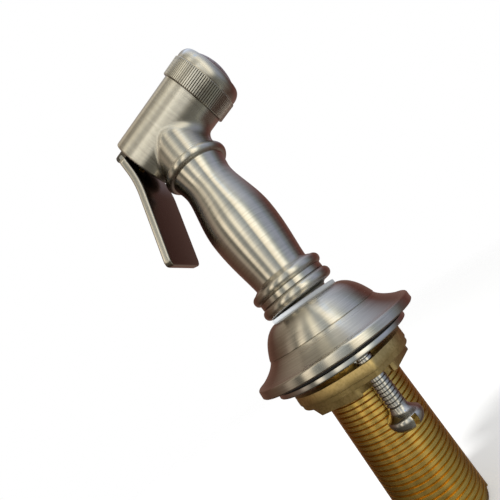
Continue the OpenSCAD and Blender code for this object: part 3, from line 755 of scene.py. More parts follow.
@cache
def brushed_finish():
    """Fine lines round a piece's own axis, with a faint smudge. Vector is in metres in the piece's frame."""
    t = new_group("brushed_finish", "ShaderNodeTree", (
        ("Vector", "Vector"), ("Colour", "Color", (0.7, 0.7, 0.7, 1)),
        ("Line Colour", "Color", (0.5, 0.5, 0.5, 1)), ("Roughness", "Float", 0.3),
        ("Lines", "Float", 2.0)), FINISH)
    here, count = t.given["Vector"], t.given["Lines"]
    x, y, z = t.add("ShaderNodeSeparateXYZ", {0: here}).outputs
    radius = t.vector("LENGTH", t.out("ShaderNodeCombineXYZ", {0: x, 1: y}))
    x, y, z, radius = (t.calc("MULTIPLY", t.calc("MULTIPLY", value, 1 / MM), per_mm)
                       for value, per_mm in ((x, 0.09), (y, 0.09), (z, count), (radius, count)))
    lines = t.noise(t.out("ShaderNodeCombineXYZ", {0: x, 1: y, 2: z}), 1.0, 4.0, W=radius)
    smudge = t.noise(here, 55.0, 2.0)
    fine = t.noise(here, 900.0, 2.0)
    tint = t.mix(t.spread(lines, 0.35, 0.65), t.given["Line Colour"], t.given["Colour"])
    rough = t.calc("ADD", t.given["Roughness"], t.spread(lines, 0.3, 0.7, -0.02, 0.02))
    t.feed(t.end, {
        "Colour": t.mix(t.spread(smudge, 0.35, 0.75, 0.0, 0.25), tint, t.given["Line Colour"]),
        "Roughness": t.calc("ADD", rough, t.spread(smudge, 0.3, 0.7, -0.02, 0.03)),
        "Height": t.calc("ADD", lines, t.spread(fine, 0.2, 0.8, 0.0, 0.25))})
    return t.tree


@cache
def grained_finish():
    """Small even grain with darker pits, as on cast metal, moulded plastic or rubber."""
    t = new_group("grained_finish", "ShaderNodeTree", (
        ("Colour", "Color", (0.5, 0.5, 0.5, 1)), ("Pit Colour", "Color", (0.3, 0.3, 0.3, 1)),
        ("Roughness", "Float", 0.5), ("Grain", "Float", 1500.0)), FINISH)
    here = t.place()
    grain = t.noise(here, t.given["Grain"], 4.0)
    patch = t.noise(here, 130.0, 3.0)
    both = t.calc("MULTIPLY", t.spread(grain, 0.35, 0.6), t.spread(patch, 0.4, 0.62, 0.35, 1.0))
    t.feed(t.end, {
        "Colour": t.mix(both, t.given["Pit Colour"], t.given["Colour"]),
        "Roughness": t.calc("ADD", t.given["Roughness"], t.spread(patch, 0.3, 0.7, -0.06, 0.1)),
        "Height": grain})
    return t.tree


def new_material(name):
    """A material with its tree and its shader."""
    material = bpy.data.materials.new(name)
    material.use_nodes = True
    shader = next(n for n in material.node_tree.nodes if n.type == "BSDF_PRINCIPLED")
    return material, Tree(material.node_tree), shader


def wire(t, shader, finish, colour, roughness, metallic, strength, depth):
    """Links a finish to the shader, with its height as a bump."""
    normal = t.out("ShaderNodeBump", {
        "Height": finish["Height"], "Strength": strength, "Distance": depth})
    t.feed(shader, {
        "Base Color": colour, "Roughness": roughness, "Metallic": metallic, "Normal": normal})


def brushed_metal(name, tone, line_tone, roughness, stretch, lines=None):
    """Metal brushed or turned round an axis, by the piece's own brush and grain, with painted shade where its
    shade mark asks for it.
    """
    material, t, shader = new_material(name)
    finish = t.add("ShaderNodeGroup", {
        "Vector": t.mark("brush", "Vector"), "Colour": rgba(tone), "Line Colour": line_tone,
        "Roughness": roughness, "Lines": lines or finishes().lines}, node_tree=brushed_finish()).outputs
    # Painted shade: the shade mark mixes the dark painted-shade tone into the colour.
    with_painted_shade = t.mix(t.mark("shade"), finish["Colour"], rgba(finishes().painted_shade))
    rough = t.calc("MULTIPLY_ADD", t.mark("satin"), SATIN, finish["Roughness"])
    grain = t.out("ShaderNodeVectorTransform", {0: t.mark("grain", "Vector")}, vector_type="VECTOR",
                  convert_from="OBJECT", convert_to="WORLD")
    wire(t, shader, finish, with_painted_shade, rough, metallic=1.0, strength=0.35, depth=0.000006)
    t.feed(shader, {"Tangent": grain, "Anisotropic": stretch})
    return material


@cache
def nickel():
    """Brushed nickel plate."""
    tone = finishes()
    return brushed_metal("brushed_nickel", tone.nickel, rgba(tone.nickel_dark), tone.nickel_roughness,
                         stretch=1.0)


def grained(name):
    """Cast metal, plastic or rubber."""
    if name in bpy.data.materials:
        return bpy.data.materials[name]
    tone, pit, level, roughness, metallic, grain, depth = GRAINED[name]
    material, t, shader = new_material(name)
    finish = t.add("ShaderNodeGroup", {
        "Colour": rgba(getattr(finishes(), tone)), "Pit Colour": rgba(getattr(finishes(), pit), level),
        "Roughness": roughness, "Grain": grain}, node_tree=grained_finish()).outputs
    wire(t, shader, finish, finish["Colour"], finish["Roughness"], metallic, strength=0.5, depth=depth)
    return material


def turned_brass():
    """Turned brass with painted shade in its thread's roots, by distance from the row frame's Z axis."""
    material, t, shader = new_material("turned_brass")
    here = t.place()
    x, y, _ = t.add("ShaderNodeSeparateXYZ", {0: here}).outputs
    radius = t.vector("LENGTH", t.out("ShaderNodeCombineXYZ", {0: x, 1: y}))
    rise = t.spread(radius, (SHANK_R - SHANK_THREAD + 0.05) * MM, (SHANK_R - 0.15) * MM)
    finish = t.add("ShaderNodeGroup", {
        "Vector": here, "Colour": rgba(finishes().brass), "Line Colour": rgba(finishes().brass, 0.72),
        "Roughness": 0.26, "Lines": 3.0}, node_tree=brushed_finish()).outputs
    # Painted shade: the thread's roots get the darker tone.
    tone = t.mix(rise, rgba(finishes().brass_painted_shade), finish["Colour"])
    wire(t, shader, finish, tone, finish["Roughness"], metallic=1.0, strength=0.4, depth=0.000008)
    return material


# ---- Holder ----


def make_escutcheon():
    inside = SPIGOT_R - SPIGOT_WALL
    recess_r = GASKET_R + 0.3
    base = [(recess_r, 0), (RIM_R - 0.4, 0), (RIM_R, 0.4)]
    base += arc((RIM_R - RIM_ROUND, RIM_BAND - RIM_ROUND), (RIM_ROUND, RIM_ROUND), 0, 75, 8)
    base += curve([(RIM_R - RIM_ROUND, RIM_BAND), (RIM_R - RIM_ROUND - 3.8, RIM_BAND + 1.1),
                   (SEAM_R + 1.1, SEAM_Z - 2.2), (SEAM_R, SEAM_Z - SEAM_ROUND)])
    base += [(SEAM_R - SEAM_ROUND, SEAM_Z), (SPIGOT_R, SEAM_Z), (SPIGOT_R, SEAM_Z + SPIGOT_H),
             (inside, SEAM_Z + SPIGOT_H), (inside, WEB_TOP), (SHANK_R + RUN, WEB_TOP),
             (SHANK_R + RUN, GASKET_RECESS), (recess_r, GASKET_RECESS)]
    bell = [(SPIGOT_R + EPS, SEAM_Z), (SEAM_R - SEAM_ROUND, SEAM_Z), (SEAM_R, SEAM_Z + SEAM_ROUND)]
    bell += curve([(SEAM_R, SEAM_Z + SEAM_ROUND), (SEAM_R - 1.5, SEAM_Z + 4.3),
                   (BELL_TOP_R + 4.9, BELL_TOP_Z - 1.3), (BELL_TOP_R, BELL_TOP_Z)], 28)
    hole = SHANK_SEAT_R + 0.25
    lip = BELL_TOP_Z - BELL_LIP
    bell += [(hole, BELL_TOP_Z), (hole, lip), (SHANK_R + EPS, lip), (SHANK_R + EPS, lip - BELL_COLLAR_H),
             (SPIGOT_R - 1.6, SEAM_Z + SPIGOT_H + 1.2), (SPIGOT_R + EPS, SEAM_Z + SPIGOT_H + RUN)]
    for name, outline in (("escutcheon_base", base), ("escutcheon_top", bell)):
        piece = lathe(name + "_skin", outline, HOLDER, steps=WIDE_STEPS)
        reach = reach_of(piece, HOLDER)
        flare = np.clip((reach - SEAM_R - 0.5) / 1.5, 0, 1) * np.clip(RIM_R - 1.5 - reach, 0, 1)
        mark(piece, "satin", 0.8 * flare)
        dress(piece, name, nickel(), brushed=HOLDER)


def add_thread(piece, radius, depth, pitch, low, high, steps, material):
    """Adds a thread's ridge between two heights to a piece."""
    ridge = add_object("ridge", [(0, 0, 0)], [])
    depth += THREAD_SINK
    run_tree(ridge, helix, {"Turns": (high - low) / pitch, "Root radius": (radius - depth) * MM,
                            "Pitch": pitch * MM, "Depth": depth * MM, "Steps per turn": steps}, material)
    ridge.data.transform(Matrix.Translation((0, 0, low * MM)))
    merge(piece, weld(ridge, outwards=True))


def make_shank():
    brass = turned_brass()
    root = SHANK_R - SHANK_THREAD
    piece = lathe("shank_turned", [
        (SHANK_SEAT_R, SHANK_TOP), (SHANK_SEAT_R, SHANK_SEAT_Z), (SHANK_BORE_R, SHANK_SEAT_Z),
        (SHANK_BORE_R, -SHANK_DROP + 0.6), (SHANK_BORE_R + 0.6, -SHANK_DROP), (root - 0.3, -SHANK_DROP),
        (root, -SHANK_DROP + 0.5), (root, -4), (SHANK_R, -2.8), (SHANK_R, SHANK_TOP)], HOLDER)
    add_thread(piece, SHANK_R, SHANK_THREAD, SHANK_PITCH, -SHANK_DROP + 1.2, -4.4, 96, brass)
    dress(piece, "shank", brass, sharp=50)


def make_bush():
    inner = BUSH_OUT_R - BUSH_WALL
    rim_low = BUSH_TOP - BUSH_T
    outline = [(inner, BUSH_TOP - 0.4), (inner, rim_low - BUSH_SKIRT), (BUSH_OUT_R, rim_low - BUSH_SKIRT),
               (BUSH_OUT_R, rim_low), (BUSH_R, rim_low)]
    outline += arc((BUSH_R - 0.5, BUSH_TOP - 0.5), (0.5, 0.5), 0, 90, 6)
    outline += [(inner + 0.4, BUSH_TOP)]
    dress(lathe("guide_bush_moulded", outline, HOLDER), "guide_bush", grained("bush_plastic"))


# ---- Clamp ----


def ring(name, bore, radius, low, high, edge, steps=STEPS):
    """A flat ring with rounded edges."""
    return lathe(name, [(bore, low), (radius, low), (radius, high), (bore, high)], HOLDER, edge, steps=steps)


def make_clamp():
    tone = finishes().steel
    washer = ring("clamp_washer_polished", SHANK_R + 0.5, WASHER_R, WASHER_LOW, WASHER_TOP, 0.42, WIDE_STEPS)
    steel = brushed_metal("polished_steel", tone, rgba(tone, 0.9), 0.14, stretch=0.45, lines=1.2)
    dress(washer, "clamp_washer", steel, brushed=HOLDER)
    gasket = ring("base_gasket_moulded", SHANK_R + 0.6, GASKET_R, -GASKET_PROUD, GASKET_RECESS, 0.25)
    dress(gasket, "base_gasket", grained("rubber"))


def make_lock_nut():
    dress(from_cad("lock_nut", "lock_nut_cast", sizes().cast_edge), "lock_nut", grained("cast_brass"),
          sharp=40)


def make_jack_screws():
    steel = grained("plated_steel")
    top = SCREW_TIP - SCREW_LEN
    low = top - SCREW_HEAD_H
    root = SCREW_R - SCREW_THREAD
    outline = [(0, low)] + arc((SCREW_HEAD_R - 3.6, low + 3.3), (3.6, 3.3), -90, 12, 14)
    outline += curve([outline[-1], (SCREW_HEAD_R - 0.5, top - 0.3), (SCREW_R + 0.8, top + 0.1),
                      (SCREW_R, top + 1.7)], 10)
    outline += [(SCREW_R, top + 2.4), (root, top + 2.9), (root, SCREW_TIP - 0.9), (root - 0.5, SCREW_TIP),
                (0, SCREW_TIP)]
    screw = lathe("jack_screws_plated", outline, HOLDER, closed=False, steps=72)
    half = SCREW_SLOT / 2
    reach = SCREW_HEAD_R + 1
    slot = [(-reach, -half), (reach, -half), (reach, half), (-reach, half)]
    cut_with(screw, prism("slot", slot, low - 1, low + SCREW_SLOT_DEPTH), "DIFFERENCE")
    add_thread(screw, SCREW_R, SCREW_THREAD, SCREW_PITCH, top + 2.6, SCREW_TIP - 0.9, 40, steel)
    screw.data.transform(Matrix.Translation((SCREW_CIRCLE * MM, 0, 0))
                         @ Matrix.Rotation(math.radians(SCREW_TURN), 4, "Z"))
    run_tree(screw, ring_array, {"Count": 2}, steel)
    screw.data.transform(Matrix.Rotation(math.radians(SCREW_AZIMUTH), 4, "Z"))
    dress(screw, "jack_screws", steel, sharp=42)


# ---- Handset ----


def seal_groove(middle):
    """An O-ring groove round a tube's bore, from its top down."""
    low, high = middle - SEAL_R - EPS, middle + SEAL_R + EPS
    return [(TUBE_FIT_R, high), (SEAL_GROOVE_R, high), (SEAL_GROOVE_R, low), (TUBE_FIT_R, low)]


def make_coupling():
    base = GROOVE_R - 0.36
    spigot = HANDLE_BORE_R - EPS
    spigot_top = HANDLE_LOW + SPIGOT_LEN
    outline = [(INLET_R, -TAIL_LEN), (TAIL_TIP_R - 0.5, -TAIL_LEN), (TAIL_TIP_R, -TAIL_LEN + 0.5),
               (TAIL_R, -3), (TAIL_R - 0.1, -1.8)]
    outline += curve([outline[-1], (TAIL_R + 0.05, -FOOT_DROP - 0.2), (FOOT_R - 1.2, -FOOT_DROP - 0.05),
                      (FOOT_R, -FOOT_DROP)], 10)
    outline += bead(FOOT_R + 0.3, BEAD_LOW_R, -FOOT_DROP + 0.05, GROOVE_LOW - 0.1)
    outline += [(GROOVE_R, GROOVE_LOW), (GROOVE_R, GROOVE_TOP)]
    outline += bead(base, BEAD_TOP_R, GROOVE_TOP + 0.05, BEAD_TOP_TOP)
    outline += curve([(base, BEAD_TOP_TOP), (GROOVE_R - 0.8, BEAD_TOP_TOP + 0.6),
                      (HANDLE_FOOT_R + 0.3, HANDLE_LOW - 0.6), (HANDLE_FOOT_R, HANDLE_LOW)], 8)
    outline += [(spigot, HANDLE_LOW), (spigot, spigot_top), (TUBE_FIT_R, spigot_top)]
    outline += seal_groove(HANDLE_LOW + SPIGOT_LEN / 2)
    outline += [(TUBE_FIT_R, HANDLE_LOW - 1), (WATERWAY_R, HANDLE_LOW - 1), (WATERWAY_R, INLET_END),
                (INLET_SEAT_R, INLET_END), (INLET_SEAT_R, INLET_SEAT_H), (INLET_R, INLET_SEAT_H)]
    dress(lathe("hose_coupling_skin", outline, HAND, 0.12), "hose_coupling", nickel(), brushed=HAND)


def make_handle():
    foot, belly, waist, top = ((HANDLE_FOOT_R, HANDLE_LOW), (BELLY_R, BELLY_AT), (WAIST_R, WAIST_AT),
                               (HANDLE_TOP_R, HANDLE_TOP))
    outline = [(HANDLE_BORE_R, HANDLE_LOW), foot]
    outline += curve([foot, (HANDLE_FOOT_R + 0.55, HANDLE_LOW + 0.247 * BELLY_H),
                      (BELLY_R, BELLY_AT - 0.425 * BELLY_H), belly], 30)
    outline += curve([belly, (BELLY_R, BELLY_AT + 0.368 * WAIST_H), (WAIST_R, WAIST_AT - 0.242 * WAIST_H),
                      waist], 30)
    outline += curve([waist, (WAIST_R, WAIST_AT + 0.32 * FLARE_H),
                      (HANDLE_TOP_R - 0.6, HANDLE_TOP - 0.347 * FLARE_H), top], 16)
    piece = lathe("handle_sleeve_skin", outline + [(HANDLE_BORE_R, HANDLE_TOP)], HAND, 0.08, steps=WIDE_STEPS)
    dress(piece, "handle_sleeve", nickel(), brushed=HAND)


def meeting(x, y, around):
    """Where a line up the neck at (x, y) meets a tube round the barrel: height, place along it, turn."""
    drop = math.sqrt(around ** 2 - y * y)
    rise = (x * math.sin(TILT) - drop) / math.cos(TILT)
    return HEAD_H + rise, x * math.cos(TILT) + rise * math.sin(TILT), math.atan2(y, drop)


def drilled_wall(radius, low, high, hole, rows):
    """A tube's wall round the barrel's axis with a hole, as points in the barrel's frame and triangles."""
    turn = np.linspace(-math.pi, math.pi, STEPS + 1)
    along = np.linspace(low, high, rows + 1)
    rim = np.array(hole) * (1, radius)
    grid = np.array([(a, t * radius) for a in along for t in turn])
    gap = np.min(np.linalg.norm(grid[:, None] - rim[None], axis=2), axis=1)

    def inside(p):
        a, b = rim, np.roll(rim, -1, 0)
        crossing = (a[:, 1] > p[1]) != (b[:, 1] > p[1])
        at = a[:, 0] + (p[1] - a[:, 1]) / np.where(crossing, b[:, 1] - a[:, 1], 1) * (b[:, 0] - a[:, 0])
        return np.count_nonzero(crossing & (p[0] < at)) % 2 == 1

    near = np.linalg.norm(grid - rim.mean(0), axis=1) < 3 * radius
    keep = [not (near[i] and (gap[i] < RIM_CLEAR or inside(p))) for i, p in enumerate(grid)]
    edge = (grid[:, 0] == low) | (grid[:, 0] == high)
    plane = np.vstack([rim, grid[np.array(keep) | edge]])
    loop = [(i, (i + 1) % len(rim)) for i in range(len(rim))]
    points, _, triangles, *_ = delaunay_2d_cdt([Vector(p) for p in plane], loop, [], 0, 1e-5)
    flat = np.array([tuple(p) for p in points])
    faces = [f for f in triangles if not inside(flat[list(f)].mean(0))]
    a, t = flat[:, 0], flat[:, 1] / radius
    return np.stack([radius * np.cos(t), radius * np.sin(t), a], 1), faces


def neck_walls():
    """Columns of points up the neck and up its duct, and the holes that both leave in the barrel."""
    front = sizes().neck_fillet / MM
    duct_low = TUBE_TOP + 1
    axis = Vector((math.cos(TILT), 0, math.sin(TILT)))
    neck, duct, neck_hole, duct_hole = [], [], [], []
    for t in np.arange(STEPS) * 2 * math.pi / STEPS:
        radius = REAR_FILLET + (front - REAR_FILLET) * (0.5 + 0.5 * math.cos(t)) ** FILLET_FADE
        way = Vector((math.cos(t), math.sin(t), 0))
        x, y = (NECK_R + radius) * way.x, (NECK_R + radius) * way.y
        height, along, turn = meeting(x, y, BARREL_R + radius)
        centre = Vector((x, y, height))
        to_barrel = Vector((0, 0, HEAD_H)) + along * axis - centre
        bend = way.angle(-to_barrel)
        side = to_barrel.normalized()
        column = [Vector((NECK_R * way.x, NECK_R * way.y, NECK_BASE + (height - NECK_BASE) * i / NECK_ROWS))
                  for i in range(NECK_ROWS + 1)]
        for s in (i / NECK_ROWS for i in range(1, NECK_ROWS + 1)):
            arm = (-way * math.sin((1 - s) * bend) + side * math.sin(s * bend)) / math.sin(bend)
            column.append(centre + radius * arm)
        neck.append(column)
        neck_hole.append((along, turn))
        x, y = WATERWAY_R * way.x, WATERWAY_R * way.y
        height, along, turn = meeting(x, y, CHAMBER_R)
        duct.append([Vector((x, y, duct_low + (height - duct_low) * i / DUCT_ROWS))
                     for i in range(DUCT_ROWS + 1)])
        duct_hole.append((along, turn))
    return neck, duct, neck_hole, duct_hole


def make_head():
    neck, duct, neck_hole, duct_hole = neck_walls()
    low = HANDLE_TOP - SPIGOT_LEN
    collar = [(WATERWAY_R, TUBE_TOP + 1), (WATERWAY_R, TUBE_TOP + EPS), (TUBE_FIT_R, TUBE_TOP + EPS)]
    collar += seal_groove(HANDLE_TOP - SPIGOT_LEN / 2)
    collar += [(TUBE_FIT_R, low), (HANDLE_BORE_R - EPS, low), (HANDLE_BORE_R - EPS, HANDLE_TOP),
               (HANDLE_TOP_R, HANDLE_TOP)]
    collar += bead(HANDLE_TOP_R + 0.5, COLLAR_R, HANDLE_TOP + 0.05, COLLAR_TOP)
    collar += curve([(HANDLE_TOP_R + 0.5, COLLAR_TOP), (NECK_R, COLLAR_TOP + 1.6), (NECK_R, COLLAR_TOP + 2.4),
                     (NECK_R, NECK_BASE)], 12)
    back = 1 - BARREL_BACK
    rear = [(CHAMBER_R, BONNET_FRONT), (BONNET_BORE_R, BONNET_FRONT), (BONNET_BORE_R, -BARREL_BACK)]
    rear += arc((BARREL_R - 1, back), (1, 1), -90, 0, 10)
    end = BARREL_FRONT - 0.6
    nose = [(BARREL_R, end), (BARREL_R, BARREL_FRONT), (CAP_SPIGOT_R, BARREL_FRONT),
            (CAP_SPIGOT_R, SPIGOT_FRONT), (DISC_BORE_R, SPIGOT_FRONT), (DISC_BORE_R, DISC_AT),
            (THROAT_R, DISC_AT), (THROAT_R, SEAT_FRONT), (CHAMBER_R, SEAT_FRONT)]

    def turned(outline):
        return turned_grid(soften(outline, sizes().edge / MM, closed=False), closed=False)

    piece = add_object("head_body_skin", *turned(collar), HAND)
    for (points, faces), place in (
            (strip(list(zip(*neck))), HAND), (strip(list(zip(*duct))), HAND), (turned(rear), BARREL),
            (drilled_wall(BARREL_R, back, end, neck_hole, 24), BARREL),
            (drilled_wall(CHAMBER_R, BONNET_FRONT, SEAT_FRONT, duct_hole, 8), BARREL),
            (turned(nose), BARREL)):
        merge(piece, add_object("part", points, faces, place))
    weld(piece, SEAM_DOUBLES, outwards=True)
    brush_round(piece, HAND)
    away = reach_of(piece, BARREL) - BARREL_R
    brush_round(piece, BARREL, np.clip(1 - away / 1.5, 0, 1))
    rise = in_frame(points_of(piece), HAND)[:, 2] / MM
    mark(piece, "satin", np.clip(away / 1.5, 0, 1) * np.clip((rise - COLLAR_TOP) / 2, 0, 1))
    dress(piece, "head_body", nickel())


def make_bonnet():
    bonnet = from_cad("rear_bonnet", "rear_bonnet_turned", 0.15 * MM)
    # Painted shade: the whole bonnet is darkened, for the dark gap behind the barrel's rear rim.
    mark(bonnet, "shade", np.full(len(bonnet.data.vertices), 0.85))
    dress(bonnet, "rear_bonnet", nickel(), sharp=40, brushed=BARREL)
    place = Matrix.Translation(JOINTS["lever_squeeze"]["pos_m"]) @ Matrix.Rotation(-math.pi / 2, 4, "X")
    outline = [(0, -PIN_HALF), (PIN_R - 0.3, -PIN_HALF), (PIN_R, -PIN_HALF + 0.25), (PIN_R, PIN_HALF - 0.25),
               (PIN_R - 0.3, PIN_HALF), (0, PIN_HALF)]
    pin = lathe("lever_pin_turned", outline, place, 0.12, closed=False, steps=32)
    dress(pin, "lever_pin", grained("inner_steel"))


# ---- Lever ----


def lever_station(s):
    """Place on the lever's inner face and the way that it faces, at distance s from its top."""
    straight = LEVER_TOP - LEVER_BEND_H
    bend = LEVER_BEND_R * LEVER_ANGLE
    if s <= straight:
        return Vector((LEVER_FACE_X, LEVER_TOP - s)), Vector((1, 0))
    turn = min((s - straight) / LEVER_BEND_R, LEVER_ANGLE)
    face = Vector((math.cos(turn), -math.sin(turn)))
    at = Vector((LEVER_FACE_X - LEVER_BEND_R, LEVER_BEND_H)) + LEVER_BEND_R * face
    if s > straight + bend:
        at += (s - straight - bend) * Vector((-math.sin(LEVER_ANGLE), -math.cos(LEVER_ANGLE)))
    return at, face


def lever_plate():
    """The bent plate with rounded edges and corners."""
    total = LEVER_TOP - LEVER_BEND_H + LEVER_BEND_R * LEVER_ANGLE + LEVER_LEG
    near = [0, 0.06, 0.2, 0.42, LEVER_EDGE, 1, 1.4, 1.9, 2.4, LEVER_CORNER]
    count = 44
    stations = near + [LEVER_CORNER + (total - 2 * LEVER_CORNER) * i / count for i in range(1, count)]
    stations += [total - s for s in reversed(near)]

    def inset(radius, s):
        """How far a rounded edge or corner draws in, at distance s from the nearer end."""
        d = min(s, total - s, radius)
        return radius - math.sqrt(radius ** 2 - (radius - d) ** 2)

    rows = []
    for s in stations:
        at, face = lever_station(s)
        half = LEVER_W / 2 - inset(LEVER_CORNER, s)
        slim = 0.85 * inset(LEVER_EDGE, s)
        deep = LEVER_T / 2 - slim
        edge = 0.95 * (LEVER_EDGE - slim)
        loop = []
        for corner, (u, v) in enumerate(((1, 1), (-1, 1), (-1, -1), (1, -1))):
            for y, d in arc((u * (half - LEVER_EDGE), v * (deep - edge)), (LEVER_EDGE, edge),
                            90 * corner, 90 * corner + 90, 5):
                spot = at + (d - LEVER_T / 2) * face
                loop.append((spot.x, y, spot.y))
        rows.append(loop)
    points, faces = strip(rows)
    n = len(rows[0])
    faces += [tuple(range(n)), tuple(len(points) - 1 - i for i in range(n))]
    return weld(add_object("lever_plate", points, faces, HAND), outwards=True)


def make_lever():
    plate = lever_plate()
    side = HAND @ Matrix.Rotation(math.pi / 2, 4, "X")
    front = PIN_X + 1.4
    tongue = [(PIN_X - BOSS_R + 0.4, LEVER_TOP - 2), (front, LEVER_TOP - 2), (front, PIN_H - 1)]
    tongue += arc((PIN_X, PIN_H), (BOSS_R, BOSS_R), -30, 215, 24)
    cut_with(plate, prism("tongue", tongue, -TONGUE_W / 2, TONGUE_W / 2, side), "UNION")
    bore = arc((PIN_X, PIN_H), (PIN_R + EPS, PIN_R + EPS), 0, 345, 23)
    cut_with(plate, prism("pin_bore", bore, -TONGUE_W, TONGUE_W, side), "DIFFERENCE")
    weld(plate)
    normals = normals_of(plate)
    forward, _, up = np.array(HAND)[:3, :3].T
    across = np.cross(normals, np.array([0.0, 1.0, 0.0]))
    across[np.linalg.norm(across, axis=1) < 0.2] = up
    mark(plate, "grain", unit_rows(across))
    mark(plate, "brush", in_frame(points_of(plate), HAND))
    # Painted shade: the side that faces the barrel and handle is darkened, for the shade and dark reflections
    # there.
    mark(plate, "shade", np.clip(1.3 * (normals @ forward) - 0.5, 0, 0.8))
    tone = finishes()
    dress(plate, "lever", brushed_metal("nickel_lever", tone.nickel, rgba(tone.nickel_dark),
                                        tone.nickel_roughness, stretch=0.6), sharp=38)


# ---- Nozzle ----


def make_nozzle_cap():
    count = sizes().knurl_count
    depth = sizes().knurl_depth / MM
    low = KNURL_R - depth
    bore = CAP_SPIGOT_R + EPS
    lip = FACE_R + EPS
    hole = FACE_R - FACE_LIP
    rise = KNURL_FRONT + 0.9
    outline = [(bore, CAP_REAR), (KNURL_R - 0.25, CAP_REAR), (KNURL_R, CAP_REAR + 0.3),
               (KNURL_R, KNURL_FRONT - 0.35), (low - 0.16, KNURL_FRONT), (CAP_R - 0.12, KNURL_FRONT + 0.12),
               (CAP_R, KNURL_FRONT + 0.35)]
    outline += arc((lip + RIM_ROLL, rise), (CAP_R - lip - RIM_ROLL, RIM_FRONT - rise), 3, 82, 20)
    outline += arc((lip + RIM_ROLL, RIM_FRONT - RIM_ROLL + 0.05), (RIM_ROLL, RIM_ROLL), 75, 180, 6)
    outline = soften(outline + [(lip, FACE_SEAT), (hole, FACE_SEAT), (hole, CAP_STOP), (bore, CAP_STOP)], 0.1)
    points = []
    for part, dip in FLUTE:
        turn = 2 * math.pi / count * part
        for r, h in outline:
            if r > low:
                r = low + (r - low) * (1 - dip)
            points.append((r * math.cos(turn), r * math.sin(turn), h))
    cap = add_object("nozzle_cap_knurled", points, grid_faces(len(FLUTE), len(outline)))
    run_tree(cap, ring_array, {"Count": count}, nickel())
    weld(cap, outwards=True)
    x, y, z = points_of(cap).T / MM
    reach = np.hypot(x, y)
    # Painted shade in the flutes: the deeper a point lies in a flute, the darker it is.
    deep = np.clip((KNURL_R - reach) / depth, 0, 1) * (z < KNURL_FRONT) * (reach > low - 0.1)
    mark(cap, "shade", 0.9 * deep ** 2)
    cap.data.transform(BARREL)
    dress(cap, "nozzle_cap", nickel(), sharp=40, brushed=BARREL)


def make_spray_face():
    tone = finishes()
    hole = FACE_R - FACE_LIP
    ball = (FACE_R ** 2 + FACE_DOME ** 2) / (2 * FACE_DOME)
    under = ball - FACE_T
    centre = FACE_EDGE + FACE_DOME - ball
    edge = math.degrees(math.asin(FACE_R / ball))
    low = math.degrees(math.asin(hole / under))
    outline = [(0, centre + ball - FACE_T)] + arc((0, centre), (under, under), 90 - low / 14, 90 - low, 12)
    outline += [(hole, FACE_SEAT), (FACE_R, FACE_SEAT)]
    outline += arc((0, centre), (ball, ball), 90 - edge, 90 - edge / 20, 18) + [(0, centre + ball)]
    disc = lathe("spray_face_drilled", outline, HOLDER, 0.12, closed=False, steps=96)
    # The face's tone paints the reddish reflection and the shade on it.
    material = brushed_metal("nickel_face", tone.face, rgba(tone.face, 0.85),
                             tone.nickel_roughness + 0.04, stretch=0.4)
    run_tree(disc, perforation, {"Hole radius": sizes().jet_radius, "Ring spacing": sizes().jet_spacing,
                                 "Height": CAP_FRONT * MM, "Depth": 0.02}, material)
    disc.data.transform(BARREL)
    # Painted shade: the whole face is darkened a little.
    mark(disc, "shade", np.full(len(disc.data.vertices), 0.2))
    dress(disc, "spray_face", material, brushed=BARREL)


# ---- Inner works ----


def make_inner():
    looks = {"shank_brass": grained("inner_brass"), "zinc_steel": grained("inner_steel"),
             "black_rubber": grained("rubber"), "white_plastic": grained("white_plastic")}
    for name in ("ring_nut", "inlet_washer", "filter_screen", "water_tube", "tube_seals", "stem_seals",
                 "valve_seat", "flow_disc", "valve_stem", "seat_washer", "valve_spring", "face_gasket"):
        node = frame["nodes"][name]
        if not node.material_slots:
            node.data.materials.append(None)
        for slot in node.material_slots:
            slot.material = looks[SLOT_OF[name]]


# ---- Stage ----

# Plain studio walls, ceiling and ground: a turn in degrees round the object, and the tone there
WALLS = ((-180, (0.15, 0.10, 0.07)), (-166, (0.20, 0.15, 0.12)), (-156, (0.50, 0.42, 0.34)),
         (-150, (0.42, 0.37, 0.30)), (-142, (0.16, 0.15, 0.13)), (-136, (0.26, 0.24, 0.20)),
         (-130, (1.4, 1.25, 1.0)), (-124, (1.45, 1.3, 1.05)), (-117, (0.52, 0.53, 0.49)),
         (-109, (0.34, 0.36, 0.35)), (-103, (0.62, 0.60, 0.55)), (-98, (1.5, 1.4, 1.15)),
         (-91, (1.4, 1.34, 1.15)), (-85, (0.85, 0.86, 0.83)), (-77, (0.60, 0.65, 0.66)),
         (-68, (0.40, 0.44, 0.46)), (-62, (1.5, 1.38, 1.12)), (-52, (1.8, 1.7, 1.45)),
         (-45, (1.6, 1.6, 1.42)), (-39, (0.9, 0.92, 0.86)), (-31, (0.46, 0.52, 0.56)),
         (-22, (0.40, 0.45, 0.56)), (-6, (0.38, 0.42, 0.55)), (1, (0.28, 0.33, 0.42)),
         (12, (0.21, 0.23, 0.25)), (22, (0.11, 0.09, 0.09)), (45, (0.13, 0.052, 0.044)),
         (92, (0.22, 0.135, 0.115)), (135, (0.14, 0.07, 0.05)), (155, (0.11, 0.055, 0.04)))
CEILING = ((-180, (0.40, 0.35, 0.27)), (-142, (0.36, 0.34, 0.28)), (-128, (1.05, 0.97, 0.78)),
           (-114, (0.42, 0.41, 0.36)), (-98, (1.3, 1.2, 0.93)), (-76, (0.45, 0.48, 0.48)),
           (-54, (1.35, 1.3, 1.12)), (-40, (0.6, 0.66, 0.7)), (-22, (1.35, 1.38, 1.42)),
           (12, (0.75, 0.85, 1.05)), (50, (1.05, 1.2, 1.45)), (72, (1.1, 1.3, 1.7)), (87, (0.42, 0.42, 0.42)),
           (100, (0.52, 0.55, 0.55)), (122, (0.68, 0.64, 0.54)), (145, (0.85, 0.78, 0.62)))
